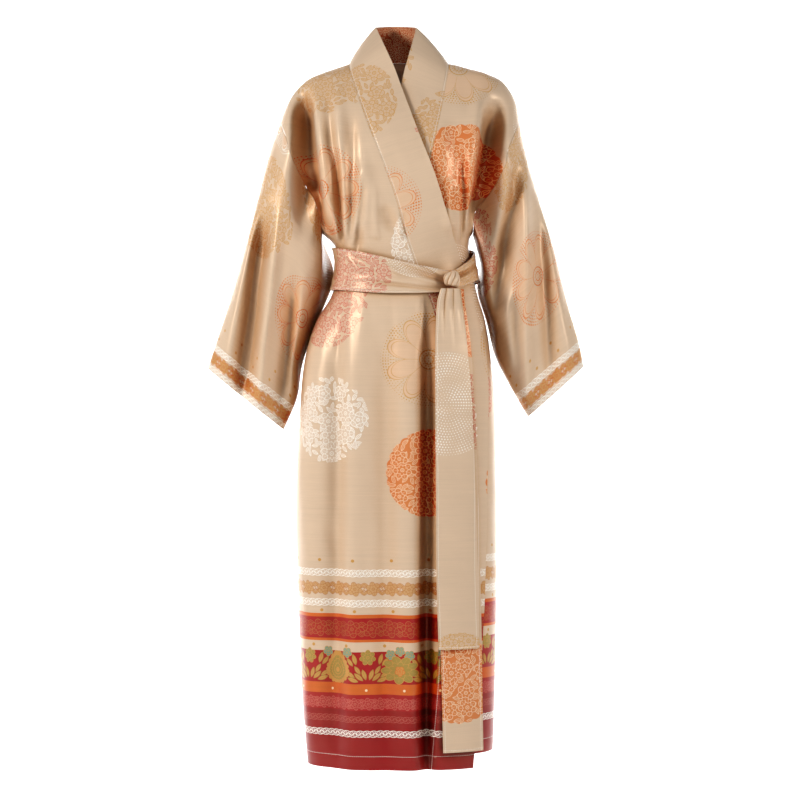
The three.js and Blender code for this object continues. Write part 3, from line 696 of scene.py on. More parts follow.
def front_panel(name, side, band, hem_z, lift_at, print_at):
    """A front panel: side seam and armhole at share 0, band seam at share 1."""
    seam_x = column(band, "z", "xs")

    def level(share, z):
        angle = lerp(side * QUARTER, angle_of(seam_x(z), z, False), share)
        return section_point(angle, z)[..., 0], z

    def seam(up):
        z = lerp(ARMHOLE_FOOT_Z, NECK_Z, up)
        return seam_x(z), z

    x, z = panel_grid(
        level,
        lambda s: shoulder_point(s, side),
        lambda up: armhole_point(up, side),
        seam,
        hem_z,
        FRONT_COLUMNS,
    )
    outer, normal = on_body(x, z, False, lift_at(x, z))
    angle = angle_of(x, z, False)
    share = np.linspace(0, 1, FRONT_COLUMNS + 1)
    at_front = smooth(np.abs(np.cos(angle)) / 0.3)
    edge = 0.02  # share of the width beside each seam that leans back to the figure's normals
    own_share = at_front * smooth(share / edge) * smooth((1 - share) / edge)
    normal = unit(lerp(normal, outward_normals(outer, normal), own_share[..., None]))
    u = arc_length(angle, z, False)
    v = z - hem_z + rise_length(z, FRONT_DEPTH)
    return wall(name, outer, -CLOTH * normal, maps_of(u, v, print_at))


def back_panel(name, print_at):
    """The back panel, from the right side seam to the left one."""
    shoulder = 0.32  # the share that each shoulder line takes of the panel's top

    def top(share):
        right = shoulder_point(np.clip(share / shoulder, 0, 1), -1)
        left = shoulder_point(np.clip((1 - share) / shoulder, 0, 1), 1)
        turn = np.clip((share - shoulder) / (1 - 2 * shoulder), 0, 1)
        neck = neck_line(cosine(turn))
        choose = [share < shoulder, share > 1 - shoulder]
        return [np.select(choose, (right[k], left[k]), neck[k]) for k in range(2)]

    def level(share, z):
        return section_point(lerp(-QUARTER, -3 * QUARTER, share), z)[..., 0], z

    share = np.linspace(0, 1, BACK_COLUMNS + 1)[None, :]
    hem_z = lerp(HEM_RIGHT_Z, HEM_LEFT_Z, smooth(share))
    x, z = panel_grid(
        level,
        top,
        lambda up: armhole_point(up, -1),
        lambda up: armhole_point(up, 1),
        hem_z,
        BACK_COLUMNS,
    )
    outer, normal = on_body(x, z, True, 0)
    outer = outer + (0, SEAM_GAP, 0)
    u = arc_length(angle_of(x, z, True), z, True)
    v = z - hem_z + rise_length(z, BACK_DEPTH)
    return wall(name, outer, -CLOTH * normal, maps_of(-u, v, print_at))


# ------------------------------------------------------------------ neck and front bands
BAND_SHARES = np.linspace(SEAM_GAP / 70, 1, BAND_COLUMNS + 1)[None, :]


def standing(seam, edge, outward):
    """A standing band: the straight mix from its seam to its free edge, bowed outwards.

    The bow is NECK_BOW times a half sine of the share across.
    """
    bow = NECK_BOW * np.sin(np.pi * BAND_SHARES)[..., None]
    return lerp(seam, edge, BAND_SHARES[..., None]) + bow * outward


def round_neck(turn):
    """The band round the back of the neck, by turn from the right neck point to the left.

    Its free edge is a half ellipse that rises towards its middle.
    """
    line_x, line_z = neck_line(cosine(turn))
    seam, normal = on_body(line_x, line_z, True, 0)
    sweep = np.pi * turn
    edge = vectors(
        BACK_EDGE["middle"] - BACK_EDGE["half"] * np.cos(sweep),
        BACK_EDGE["y"] + BACK_EDGE["deep"] * np.sin(sweep),
        BACK_EDGE["z"] + BACK_EDGE["rise"] * np.sin(sweep),
    )
    grid = standing(seam, edge, vectors(-np.cos(sweep), np.sin(sweep), 0))
    return grid, normal + 0 * grid


def band_wall(name, outer, normal, stand, rows, print_at, start=0.0):
    """A doubled band's wall on the first rows of a grid, with its width and length as maps.

    Where the band stands, the grid's own normals take over from the body's. Its length is
    counted from start.
    """
    normal = unit(lerp(normal, outward_normals(outer, normal), stand))
    outer, normal = outer[:rows], normal[:rows]
    middle = length_along(outer[:, BAND_COLUMNS // 2 : BAND_COLUMNS // 2 + 1], 0)
    u, v = BAND_SHARES * BAND_WIDTH + 0 * middle, start + middle + 0 * BAND_SHARES
    return wall(name, outer, -DOUBLED * normal, maps_of(u, v, print_at))


def front_band(name, side, band, hem_z, lift_at, print_at):
    """A band sewn to a front panel's edge, row by row, from the hem to the neck point.

    Two more rows, round the neck, only steady the normals at its end.
    """
    read = columns_of(band, "z", "xs xe ze ye stand")
    row = np.arange(ROWS + 1.0)[:, None]
    upper = lerp(ARMHOLE_FOOT_Z, NECK_Z, upper_share(np.maximum(row, SKIRT_ROWS)))
    z = np.where(row <= SKIRT_ROWS, skirt_z(hem_z, row), upper)
    x = lerp(read["xs"](z), read["xe"](z), BAND_SHARES)
    height = lerp(z, read["ze"](z), BAND_SHARES)
    lying, normal = on_body(x, height, False, lift_at(x, height))
    seam, _ = on_body(read["xs"](z), z, False, lift_at(read["xs"](z), z))
    edge = vectors(read["xe"](z), read["ye"](z), read["ze"](z))
    stand = np.clip(read["stand"](z), 0, 1)[..., None]
    front = lerp(lying, standing(seam, edge, np.array([side, 0.0, 0.0])), stand)
    turn = np.array([[1], [2]]) / NECK_ROWS / 2
    beyond, beyond_normal = round_neck(turn if side < 0 else 1 - turn)
    outer = np.concatenate([front, beyond])
    normal = np.concatenate([normal, beyond_normal])
    stand = np.concatenate([stand + 0 * front, 1 + 0 * beyond])
    return band_wall(name, outer, normal, stand, ROWS + 1, print_at)


def neck_band(name, print_at):
    """The band round the back of the neck, between the ends of the two front bands."""
    end = SEAM_GAP / 60  # share of the turn left open beside each front band
    turn = np.linspace(end, 1 - end, 2 * NECK_ROWS + 1)[:, None]
    outer, normal = round_neck(turn)
    return band_wall(name, outer, normal, 1.0, len(outer), print_at, RIGHT_BAND_LENGTH)


# ------------------------------------------------------------------ sleeves
ARM_SQUARENESS = 0.9  # power of the ring's sine: 1 is an ellipse
SLEEVE_RIPPLES = ((1.4, -0.4, 22, 120), (0.8, 0, 14, 60))
THINNEST_SLEEVE = 0.35  # least share of its half depth that a trough leaves
ARMHOLE_BLEND = 0.34  # share of its length over which a sleeve leaves the armhole's shape


def sleeve(name, side, shape, print_at):
    """A sleeve: rings from the armhole to the cuff.

    Each ring starts at the under fold, runs up the back to the top fold and down the
    front. Depth off the chord between the folds is |sin turn|^0.9 of the half depth, with
    the folds' rise added, and the first rings follow the armhole seam.
    """
    share = np.linspace(0, 1, SLEEVE_ROWS + 1)[:, None]
    turn = np.pi + TURN * np.linspace(0, 1, SLEEVE_COLUMNS + 1)[None, :]
    shape = dict(shape, share=np.linspace(0, 1, len(shape["xt"])))
    read = columns_of(shape, "share", "xt zt xu zu front back tuck")

    def chord(at, up):
        x = lerp(read["xu"](at), read["xt"](at), up)
        return vectors(x, 0, lerp(read["zu"](at), read["zt"](at), up))

    up = (1 + np.cos(turn)) / 2
    behind = np.sin(turn) < -1e-9
    middle = chord(share, up)
    x, z = middle[..., 0], middle[..., 2]
    profile = np.abs(np.sin(turn)) ** ARM_SQUARENESS
    fine = ripples(SLEEVE_RIPPLES, x, z, 90)
    front_rise = fold_rise(SLEEVE_FRONT_FOLDS, x, z) + fine
    back_rise = fold_rise(SLEEVE_BACK_FOLDS, x, z) + fine
    rise = np.where(behind, back_rise, front_rise) * np.minimum(1, 1.6 * profile)
    half = np.where(behind, read["back"](share), read["front"](share)) * profile
    deep = np.maximum(half + rise, THINNEST_SLEEVE * half)
    round_turn = np.mod(turn, TURN)
    tucked = np.exp(-(((round_turn - TUCK_AT["turn"]) / TUCK_AT["wide"]) ** 2))
    inward = -side * read["tuck"](share) * tucked
    hanging = middle + vectors(inward, np.where(behind, deep, -deep), 0)
    seam_x, seam_z = armhole_point(up, side)
    sewn_front, _ = on_body(seam_x, seam_z, False, 0)
    sewn_back, _ = on_body(seam_x, seam_z, True, 0)
    sewn = np.where(behind[..., None], sewn_back + (0, SEAM_GAP, 0), sewn_front)
    sewn = sewn - chord(0.0, up)
    line = (chord(0.0, 1.0) - chord(0.0, 0.0)).ravel()
    outward = unit(np.cross(line, (0, -side, 0)))
    joined = middle + sewn + outward * (2 * SEAM_GAP)
    outer = lerp(joined, hanging, smooth(share / ARMHOLE_BLEND)[..., None])
    normal = outward_normals(outer, outer - chord(share, 0.5), loops=True)
    # The first ring's inner side would enter the body's cloth, so it leans no further out.
    first = normal[0] - np.maximum(0, dot(normal[0], outward)) * outward
    normal[0] = first / np.maximum(0.3, dot(first, first))
    u = length_along(outer, 1)
    u = u - u[:, SLEEVE_COLUMNS // 2 : SLEEVE_COLUMNS // 2 + 1]
    v = length_along(outer[::-1], 0)[::-1]
    return wall(name, outer, -CLOTH * normal, maps_of(u, v, print_at), loops=True)


# ------------------------------------------------------------------ sash, knot and tails
# Creases of the sash, seen from the front: pressed folds that fan out of the knot.
SASH_FOLDS = table(
    "x0 z0 x1 z1 half rise",
    (-104, -316, -60, -372, 4, 3.5),
    (-92, -318, -30, -384, 4, -2.0),
    (-78, -322, 10, -378, 5, 3.0),
    (-8, -352, 84, -390, 4, -4.0),
    (-30, -362, 80, -396, 5, 3.5),
    (-60, -386, 76, -402, 3.5, -4.0),
    (124, -342, 88, -376, 4, 3.5),
    (128, -354, 88, -382, 3, -3.5),
    (126, -366, 92, -386, 3, 2.5),
)
# The upper layer of the sash ends in a folded edge that runs down to the knot.
LAYER_EDGE = {"x": (-14, 84), "z": (-328, -388), "step": 3.6, "soft": 2.2}


def layer_step(x, z):
    """How far the sash's upper layer stands off, above its folded edge."""
    share = (x - LAYER_EDGE["x"][0]) / (LAYER_EDGE["x"][1] - LAYER_EDGE["x"][0])
    above = z - lerp(*LAYER_EDGE["z"], share)
    fade = smooth(share / 0.3) * smooth((1.08 - share) / 0.1)
    return LAYER_EDGE["step"] * smooth(above / LAYER_EDGE["soft"] + 0.5) * fade


def sash(name, print_at):
    """The sash wound round the waist, between its two edges, creased towards the knot."""
    read = columns_of(SASH, "angle", "top foot lift")
    degrees = np.linspace(-180, 180, SASH_COLUMNS + 1)[None, :]
    share = np.linspace(0, 1, SASH_ROWS + 1)[:, None]
    z = lerp(read["foot"](degrees), read["top"](degrees), share)
    angle = np.radians(degrees) + 0 * z
    normal = section_normal(angle, z)
    body = section_point(angle, z)
    x = body[..., 0]
    ahead = smooth(np.cos(angle) / 0.35)
    behind = smooth(-np.cos(angle) / 0.35)
    loose = np.sin(np.pi * share) ** 0.5
    crease = (fold_rise(SASH_FOLDS, x, z) * loose + layer_step(x, z)) * ahead
    crease += 1.6 * ripple(z + 0.06 * x, x, 13, 120, 30) * loose * behind
    crease += 0.9 * ripple(z, x, 9, 50, 31) * loose
    outer = body + normal * (read["lift"](degrees) + crease)[..., None]
    u = length_along(outer[SASH_ROWS // 2 : SASH_ROWS // 2 + 1], 1)
    u = u - u[:, SASH_COLUMNS // 2 : SASH_COLUMNS // 2 + 1]
    u, v = u + 0 * share, share * SASH_WIDTH + 0 * u
    return wall(name, outer, -DOUBLED * normal, maps_of(u, v, print_at), loops=True)


def knot(name, print_at):
    """The sash's knot: cloth gathered over a lump in pleats that lean to its upper corner.

    A superellipsoid in the section's own directions, broad below. Between the pleats are
    sharp valleys, from the square root of a sine of the angle round it.
    """
    angle = angle_of(np.array(KNOT["x"] * 1.0), KNOT["z"], False)
    out = section_normal(angle, KNOT["z"])
    middle = section_point(angle, KNOT["z"]) + out * KNOT["lift"]
    across = unit(np.array([-out[1], out[0], 0]))
    up = unit(np.cross(out, across))
    steepest = QUARTER * 0.985  # the cloth stops short of both ends
    high = np.linspace(-steepest, steepest, KNOT_ROWS + 1)[:, None]
    turn = np.linspace(0, TURN, KNOT_COLUMNS + 1)[None, :]
    ring = np.cos(high) ** np.where(high < 0, *KNOT_ROUNDNESS)
    lean = turn + KNOT_LEAN * np.sin(high)
    pleats = 0.8 + 0.24 * np.sqrt(np.abs(np.sin(4 * lean))) - 0.04 * np.cos(3 * lean)
    sideways = KNOT["wide"] * ring * pleats * np.cos(turn)
    outward = np.maximum(np.sin(turn), KNOT_INWARD * np.sin(turn))
    deep = KNOT["deep"] * ring * pleats * outward
    rise = KNOT["high"] * np.sin(high) * (1 + 0.12 * np.cos(turn))
    grid = middle + sideways[..., None] * across + deep[..., None] * out + rise[..., None] * up
    centre = grid.mean((0, 1))
    u = KNOT["wide"] * turn + 0 * high + KNOT_ON_CLOTH
    v = KNOT["high"] * high + 0 * turn + SASH_WIDTH / 2
    return wall(name, grid, KNOT_WALL * (centre - grid), maps_of(u, v, print_at), loops=True)


# Below these heights a tail's cloth starts to open out, its pleats to fade, and it leaves
# the knot's bulge; each change is as long as its second number.
OPENS, PLEATS_FADE, LEAVES_KNOT = (-560, 120), (-520, 110), (-440, 40)
KNOT_BULGE = 7  # how far a tail stands out just under the knot


def tail(name, edges, pleat, wave, print_at):
    """A hanging tail, gathered at the knot and opening out below.

    Three pleats with sharp valleys, pleat deep, part its top, and the free cloth sways in
    slow waves down its length, wave high, with soft wrinkles across.
    """

    def above(change):
        return smooth((z - change[0]) / change[1])

    read = columns_of(edges, "z", "from to lift")
    z0, z1 = edges["z"].max(), edges["z"].min()
    row = np.linspace(0, 1, TAIL_ROWS + 1)[:, None]
    share = np.linspace(0, 1, TAIL_COLUMNS + 1)[None, :]
    z = lerp(z1, z0, 1 - (1 - row) ** 1.35)
    x = lerp(read["from"](z), read["to"](z), share)
    z = z + 0 * x
    level = np.maximum(z, TAIL_HANGS_FROM_Z)
    angle = angle_of(x, level, False)
    normal = unit(section_normal(angle, level) * (1, 1, 0))
    pleats = np.sqrt(np.abs(np.sin(np.pi * (3 * share + 0.15)))) - 0.6
    forward = read["lift"](z) + above(PLEATS_FADE) * pleat * pleats
    forward = forward + KNOT_BULGE * above(LEAVES_KNOT)
    sway = np.sin(z / 61 + wave) * (share - 0.5) + 0.5 * np.sin(z / 37 + 2 * wave + 3 * share)
    wrinkles = 0.6 * ripple(x + 0.8 * z, z - 0.5 * x, 26, 34, 70)
    forward = forward + (1 - above(OPENS)) * wave * (sway + wrinkles)
    forward = forward / np.maximum(0.55, -normal[..., 1])
    level_point = section_point(angle, level)
    outer = vectors(level_point[..., 0], level_point[..., 1] - forward, z)
    width = read["to"](z[:, :1]) - read["from"](z[:, :1])
    u, v = share * width, z - z1
    return wall(name, outer, -DOUBLED * normal, maps_of(u, v, print_at))


# ------------------------------------------------------------------ shader tools
def srgb(red, green, blue):
    """A colour given in 0 to 255, as linear RGBA."""
    parts = np.array([red, green, blue]) / 255
    linear = np.where(parts <= 0.04045, parts / 12.92, ((parts + 0.055) / 1.055) ** 2.4)
    return (*linear.tolist(), 1.0)


class Value:
    """One number worked out by shader nodes, with the usual arithmetic."""

    def __init__(self, shader, socket):
        self.shader, self.socket = shader, socket

    def math(self, operation, *others, clamp=False):
        return self.shader.math(operation, self, *others, clamp=clamp)

    def wrapped(self, period):
        """The distance to the middle of its own period, from minus to plus a half of it."""
        return ((self / period).fract() - 0.5) * period

    def below(self, edge, soft=0.0004):
        """1 below the edge and 0 above it, with a soft step between."""
        return ((edge - self) / soft + 0.5).math("ADD", 0, clamp=True)

    def above(self, edge, soft=0.0004):
        return 1 - self.below(edge, soft)

    def within(self, low, high, soft=0.0004):
        return self.above(low, soft) * self.below(high, soft)

    def most(self, other):
        """The larger of two values, such as the union of two masks."""
        return self.math("MAXIMUM", other)

    def near(self, place, half, soft=0.0004):
        """1 within half of a place, and 0 further off: a line's mask."""
        return (self - place).abs().below(half, soft)


def give_values_arithmetic():
    """Gives Value the signs + - * / from either side, and the one-number functions."""
    signs = {"add": "ADD", "sub": "SUBTRACT", "mul": "MULTIPLY", "truediv": "DIVIDE"}
    for word, operation in signs.items():
        first = lambda self, other, way=operation: self.math(way, other)
        second = lambda self, other, way=operation: self.shader.math(way, other, self)
        setattr(Value, f"__{word}__", first)
        setattr(Value, f"__r{word}__", second)
    words = {"abs": "ABSOLUTE", "sin": "SINE", "cos": "COSINE", "floor": "FLOOR", "fract": "FRACT"}
    for word, operation in words.items():
        setattr(Value, word, lambda self, way=operation: self.math(way))


give_values_arithmetic()


class Shader:
    """Builds the nodes of a material or of a node group."""

    def __init__(self, tree):
        self.tree = tree

    def node(self, kind, inputs=(), **settings):
        """A new node with its settings, its inputs set to constants or linked."""
        made = self.tree.nodes.new(kind)
        for key, value in settings.items():
            setattr(made, key, value)
        for key, value in dict(inputs).items():
            self.feed(made.inputs[key], value)
        return made

    def feed(self, socket, value):
        if isinstance(value, Value):
            value = value.socket
        if isinstance(value, bpy.types.NodeSocket):
            self.tree.links.new(value, socket)
        else:
            socket.default_value = value

    def value(self, socket):
        return Value(self, socket)

    def read(self, node):
        """A node's outputs by name, its numbers as values to reckon with."""
        named = [socket for socket in node.outputs if socket.name]
        return {k.name: self.value(k) if k.type == "VALUE" else k for k in named}

    def math(self, operation, *values, clamp=False):
        inputs = dict(enumerate(values))
        made = self.node("ShaderNodeMath", inputs, operation=operation, use_clamp=clamp)
        return self.value(made.outputs[0])

    def mix(self, share, low, high):
        """A colour between two, by a share."""
        inputs = {"Factor": share, 6: low, 7: high}
        made = self.node("ShaderNodeMix", inputs, data_type="RGBA")
        return made.outputs[2]

    def split(self, vector):
        """The x and y of a vector."""
        parts = self.node("ShaderNodeSeparateXYZ", {0: vector})
        return self.value(parts.outputs[0]), self.value(parts.outputs[1])

    def join(self, x, y, z=0.0):
        return self.node("ShaderNodeCombineXYZ", {0: x, 1: y, 2: z}).outputs[0]

    def polar(self, x, y):
        """The distance from the middle, and the angle round it."""
        return (x * x + y * y).math("SQRT"), y.math("ARCTAN2", x)

    def cells(self, x, y, size, randomness=0.6):
        """A Voronoi pattern of cells: where in its cell a point is, its middle, a number."""
        inputs = {"Vector": self.join(x / size, y / size), "Scale": 1.0}
        inputs["Randomness"] = randomness
        made = self.node("ShaderNodeTexVoronoi", inputs, voronoi_dimensions="2D")
        cell_x, cell_y = self.split(made.outputs["Position"])
        cell_x, cell_y = cell_x * size, cell_y * size
        number = self.channels(made.outputs["Color"])[0]
        return x - cell_x, y - cell_y, cell_x, cell_y, number

    def channels(self, colour):
        """The red, green and blue of a colour, as numbers."""
        parts = self.node("ShaderNodeSeparateColor", {0: colour}).outputs
        return [self.value(part) for part in parts[:3]]

    def noise(self, vector, scale, detail=2.0, roughness=0.5):
        inputs = {"Vector": vector, "Scale": scale, "Detail": detail, "Roughness": roughness}
        return self.value(self.node("ShaderNodeTexNoise", inputs).outputs[0])

    def ramp(self, factor, stops):
        """Constant steps of colour: each stop is where it starts and its RGBA colour."""
        made = self.node("ShaderNodeValToRGB", {0: factor})
        steps = made.color_ramp
        steps.interpolation = "CONSTANT"
        for i, (place, colour) in enumerate(stops):
            step = steps.elements[i] if i < 2 else steps.elements.new(place)
            step.position, step.color = place, colour
        return made.outputs[0], self.value(made.outputs[1])


GROUPS = {}
KIND = {"Place": "Vector", "Ground": "Color", "Color": "Color"}  # other sockets are numbers


def node_group(name, inputs, outputs):
    """A decorator: the function builds the inside of a node group, once.

    It is given the group's inputs in their order, and returns its outputs in theirs.
    """

    def wrap(build):
        tree = bpy.data.node_groups.new(name, "ShaderNodeTree")
        for words, way in ((inputs, "INPUT"), (outputs, "OUTPUT")):
            for word in words.split():
                kind = "NodeSocket" + KIND.get(word, "Float")
                tree.interface.new_socket(word, in_out=way, socket_type=kind)
        shader = Shader(tree)
        results = build(shader, *shader.read(shader.node("NodeGroupInput")).values())
        results = results if isinstance(results, tuple) else (results,)
        shader.node("NodeGroupOutput", zip(outputs.split(), results))
        GROUPS[name] = tree
        return build

    return wrap


def use(shader, name, **inputs):
    """A node group put into a tree, its inputs set or linked by name: its outputs by name."""
    return shader.read(shader.node("ShaderNodeGroup", inputs, node_tree=GROUPS[name]))


# ------------------------------------------------------------------ the print
BEIGE = srgb(214, 184, 153)
WRONG_SIDE = srgb(206, 176, 146)
RED = srgb(162, 16, 25)
DARK_RED = srgb(140, 8, 18)
ORANGE = srgb(206, 92, 32)
AMBER = srgb(212, 108, 42)
GOLD = srgb(198, 140, 68)
OLIVE = srgb(158, 130, 58)
WHITE = srgb(248, 240, 228)
CREAM = srgb(244, 212, 168)
CORAL = srgb(192, 58, 50)
PEACH = srgb(232, 178, 132)
TEAL = srgb(104, 152, 130)
ROSE = srgb(198, 96, 82)
BRONZE = srgb(178, 98, 52)
RUST = srgb(196, 92, 46)

ROUNDEL = {"across": 0.19, "up": 0.206, "radius": 0.081}
FLOWER_CELL, LEAF_CELL = 0.034, 0.0108  # widths of a medallion's cells, one motif in each
PETAL_BLUSH = 0.35  # how strongly a chrysanthemum's petals are tinted
STIPPLE_STEP = 0.0046  # from one ring of stipples to the next
LEAF_TURNS = 6.28  # turns a leaf's own number, from 0 to 1, into its direction
GOLDEN = 0.618034  # tones step by the golden section, so that neighbours differ
STRAY = 0.01  # how far a medallion strays from its place on the lattice


def covering(colour, strength):
    """The same colour, with how strongly it covers the cloth as its alpha."""
    return (*colour[:3], strength)


# How medallions are printed, by their tone from 0 to 1: the colour of their shapes and of
# their lines, 1 if the ground between the shapes is printed too, 1 if they are stippled
# all over, and 1 if a great chrysanthemum fills them.
KINDS = [
    (0.00, covering(CORAL, 0.12), covering(CORAL, 0.9), 0, 0, 0),
    (0.15, covering(AMBER, 0.92), covering(CREAM, 0.85), 1, 0, 0),
    (0.28, covering(GOLD, 0.22), covering(GOLD, 0.9), 0, 0, 0),
    (0.40, covering(WHITE, 0.2), covering(WHITE, 0.95), 0, 0, 0),
    (0.52, covering(WHITE, 0.0), covering(WHITE, 0.9), 0, 1, 0),
    (0.63, covering(AMBER, 0.0), covering(AMBER, 0.9), 0, 1, 1),
    (0.75, covering(RED, 0.94), covering(CREAM, 0.8), 1, 0, 0),
    (0.81, covering(GOLD, 0.0), covering(GOLD, 0.9), 0, 1, 1),
    (0.91, covering(WHITE, 0.0), covering(WHITE, 0.9), 0, 1, 1),
]


@node_group("Flower", "X Y Size Petals Turn", "Line Fill")
def flower(shader, x, y, size, petals, turn):
    """An open flower: two whorls of round petals about a dotted middle, in line and in fill.

    The petal edge is size * (0.74 + 0.26 |cos(petals * angle / 2)|).
    """
    radius, angle = shader.polar(x, y)
    r = radius / size
    half = (angle + turn) * petals * 0.5
    lobe, inner = half.cos().abs(), half.sin().abs()
    outer_edge, inner_edge = lobe * 0.26 + 0.74, inner * 0.2 + 0.4
    soft = 0.0003 / size
    wide = 0.0006 / size
    line = r.near(outer_edge, wide, soft).most(r.near(inner_edge, wide, soft))
    gap = (lobe * r * 2 / petals).below(wide, soft) * r.within(inner_edge, outer_edge, soft)
    vein = (half * 2).sin().abs() * r / petals
    veins = vein.below(wide * 0.6, soft) * r.within(inner_edge, outer_edge - 0.14, soft)
    middle = r.near(0.18, wide, soft).most(r.below(0.06, soft))
    petals_only = line.most(gap).most(veins * 0.7)
    return petals_only.most(middle), r.below(outer_edge, soft)


@node_group("Leaf", "X Y Turn Size", "Line Fill")
def leaf(shader, x, y, turn, size):
    """A pointed leaf with a middle rib, about its own middle.

    Its edge is y = 0.36 * (1 - x^2), for x and y in half lengths.
    """
    along = (x * turn.cos() + y * turn.sin()) / size
    across = (y * turn.cos() - x * turn.sin()) / size
    edge = (1 - along * along) * 0.36
    soft = 0.0003 / size
    wide = 0.0005 / size
    inside = across.abs().below(edge, soft)
    rim = across.abs().near(edge, wide, soft) * along.abs().below(1.05, soft)
    rib = across.abs().below(wide * 0.8, soft) * inside
    return rim.most(rib), inside


@node_group("Medallion", "Place Ground X Y Radius Tone Cover", "Color")
def medallion(shader, place, ground, centre_x, centre_y, radius, tone, cover):
    """One round medallion of flowers and leaves, printed in one of the KINDS by its tone.

    Its rim is made of whole flowers and leaves: a cell belongs to it if its middle does.
    A great chrysanthemum has nine petals, with the edge 0.4 + 0.5 |cos(4.5 angle)|^0.5 of
    the radius. Stipples are dots in rings, each ring with a whole number of dots.
    """
    x, y = shader.split(place)

    def from_centre(px, py):
        return shader.polar(px - centre_x, py - centre_y)

    reach, turn = from_centre(x, y)
    disc = reach.below(radius, 0.0006)
    dx, dy, cell_x, cell_y, number = shader.cells(x, y, FLOWER_CELL, 0.55)
    flowers_in = from_centre(cell_x, cell_y)[0].below(radius - 0.006, 0.0002) * disc
    petals = (number * 4).floor() + 5
    size = number * 0.005 + 0.0135
    bloom = use(shader, "Flower", X=dx, Y=dy, Size=size, Petals=petals, Turn=number * 9)
    bloom_line, bloom_fill = (mask * flowers_in for mask in bloom.values())
    lx, ly, leaf_x, leaf_y, leaf_number = shader.cells(x, y, LEAF_CELL, 0.8)
    leaves_in = from_centre(leaf_x, leaf_y)[0].below(radius, 0.0002) * disc
    spray = use(shader, "Leaf", X=lx, Y=ly, Turn=leaf_number * LEAF_TURNS, Size=0.0074)
    leaf_line, leaf_fill = (mask * leaves_in for mask in spray.values())
    line = bloom_line.most(leaf_line * (1 - bloom_fill))
    fill = bloom_fill.most(leaf_fill)

    ring = (reach / STIPPLE_STEP).floor() + 0.5
    count = (ring * 5.6).floor()
    around = ((turn / TURN * count).fract() - 0.5) / count
    off_ring = reach - ring * STIPPLE_STEP
    off_dot = shader.polar(around * ring * (STIPPLE_STEP * TURN), off_ring)[0]
    dot_size = (shader.noise(shader.join(x, y), 26.0, 1.0) - 0.1) * 0.0027
    dots = off_dot.below(dot_size, 0.0004) * disc
    share = reach / radius
    lobe = (turn * 4.5).cos().abs()
    petal_edge = lobe.math("POWER", 0.5) * 0.5 + 0.4
    petal = share.within(0.24, petal_edge, 0.02)
    rims = share.near(petal_edge, 0.012, 0.01).most(share.near(petal_edge - 0.08, 0.008, 0.01))
    rims = rims.most((lobe * share).below(0.012, 0.012)) * share.within(0.22, 0.96, 0.02)
    rims = rims.most(share.near(0.2, 0.012, 0.01)).most(share.near(0.1, 0.01, 0.01))

    starts, areas, inks, plates, stipples, greats = zip(*KINDS)
    area, area_cover = shader.ramp(tone, zip(starts, areas))
    ink, ink_cover = shader.ramp(tone, zip(starts, inks))
    marks = zip(plates, stipples, greats, np.ones(len(KINDS)))
    plated, dotted, great = shader.channels(shader.ramp(tone, zip(starts, marks))[0])

    scalloped = reach.below(radius * ((turn * 14).cos().abs() * 0.04 + 0.96), 0.0006)
    plate = fill.most(scalloped * plated) * area_cover
    colour = shader.mix(plate * cover, ground, area)
    colour = shader.mix(line * (1 - dotted) * ink_cover * cover, colour, ink)
    stipple = dots * dotted * (1 - petal * great)
    colour = shader.mix(stipple * ink_cover * cover, colour, ink)
    colour = shader.mix(petal * great * cover * PETAL_BLUSH, colour, PEACH)
    return shader.mix(rims * great * cover * 0.8, colour, ink)


@node_group("Medallions", "Place Ground Offset Floor", "Color")
def medallions(shader, place, ground, offset, floor):
    """Medallions on a half-drop lattice, none with its middle below the floor."""
    x, y = shader.split(place)
    wide, tall = ROUNDEL["across"], ROUNDEL["up"]
    columns = (x / wide).floor()
    drop = (columns * 0.5).fract() * tall
    rows = ((y + drop) / tall).floor()
    tone = (columns * (1 - GOLDEN) + rows * GOLDEN + offset).fract()
    centre_x = (columns + 0.5) * wide + (tone * 41).sin() * STRAY
    centre_y = (rows + 0.5) * tall - drop + (tone * 57).cos() * STRAY
    radius = ROUNDEL["radius"] + (tone * 23).sin() * 0.005
    spot = {"X": centre_x, "Y": centre_y, "Cover": centre_y.above(floor), "Radius": radius}
    return use(shader, "Medallion", Place=place, Ground=ground, Tone=tone, **spot)["Color"]


@node_group("Chain", "X Y Height", "Mask")
def chain(shader, x, y, height):
    """A chain of linked curls: a waving strand, rings on either side of it, scalloped edges.

    The strand is a sine as high as 0.24 of the chain, and the rings sit in its bends.
    """
    period, ring, line = 0.0115, 0.0027, 0.0005
    turn = x * (TURN / period)
    strand = y.near(turn.sin() * height * 0.24, 0.0007)
    upper = shader.polar((x + period / 4).wrapped(period), y + height * 0.14)[0]
    lower = shader.polar((x - period / 4).wrapped(period), y - height * 0.14)[0]
    rings = upper.near(ring, line).most(lower.near(ring, line))
    eyes = upper.below(0.0007).most(lower.below(0.0007))
    scallops = y.abs().near((turn * 0.5).cos().abs() * height * 0.13 + height * 0.34, 0.0006)
    return strand.most(rings).most(eyes).most(scallops)


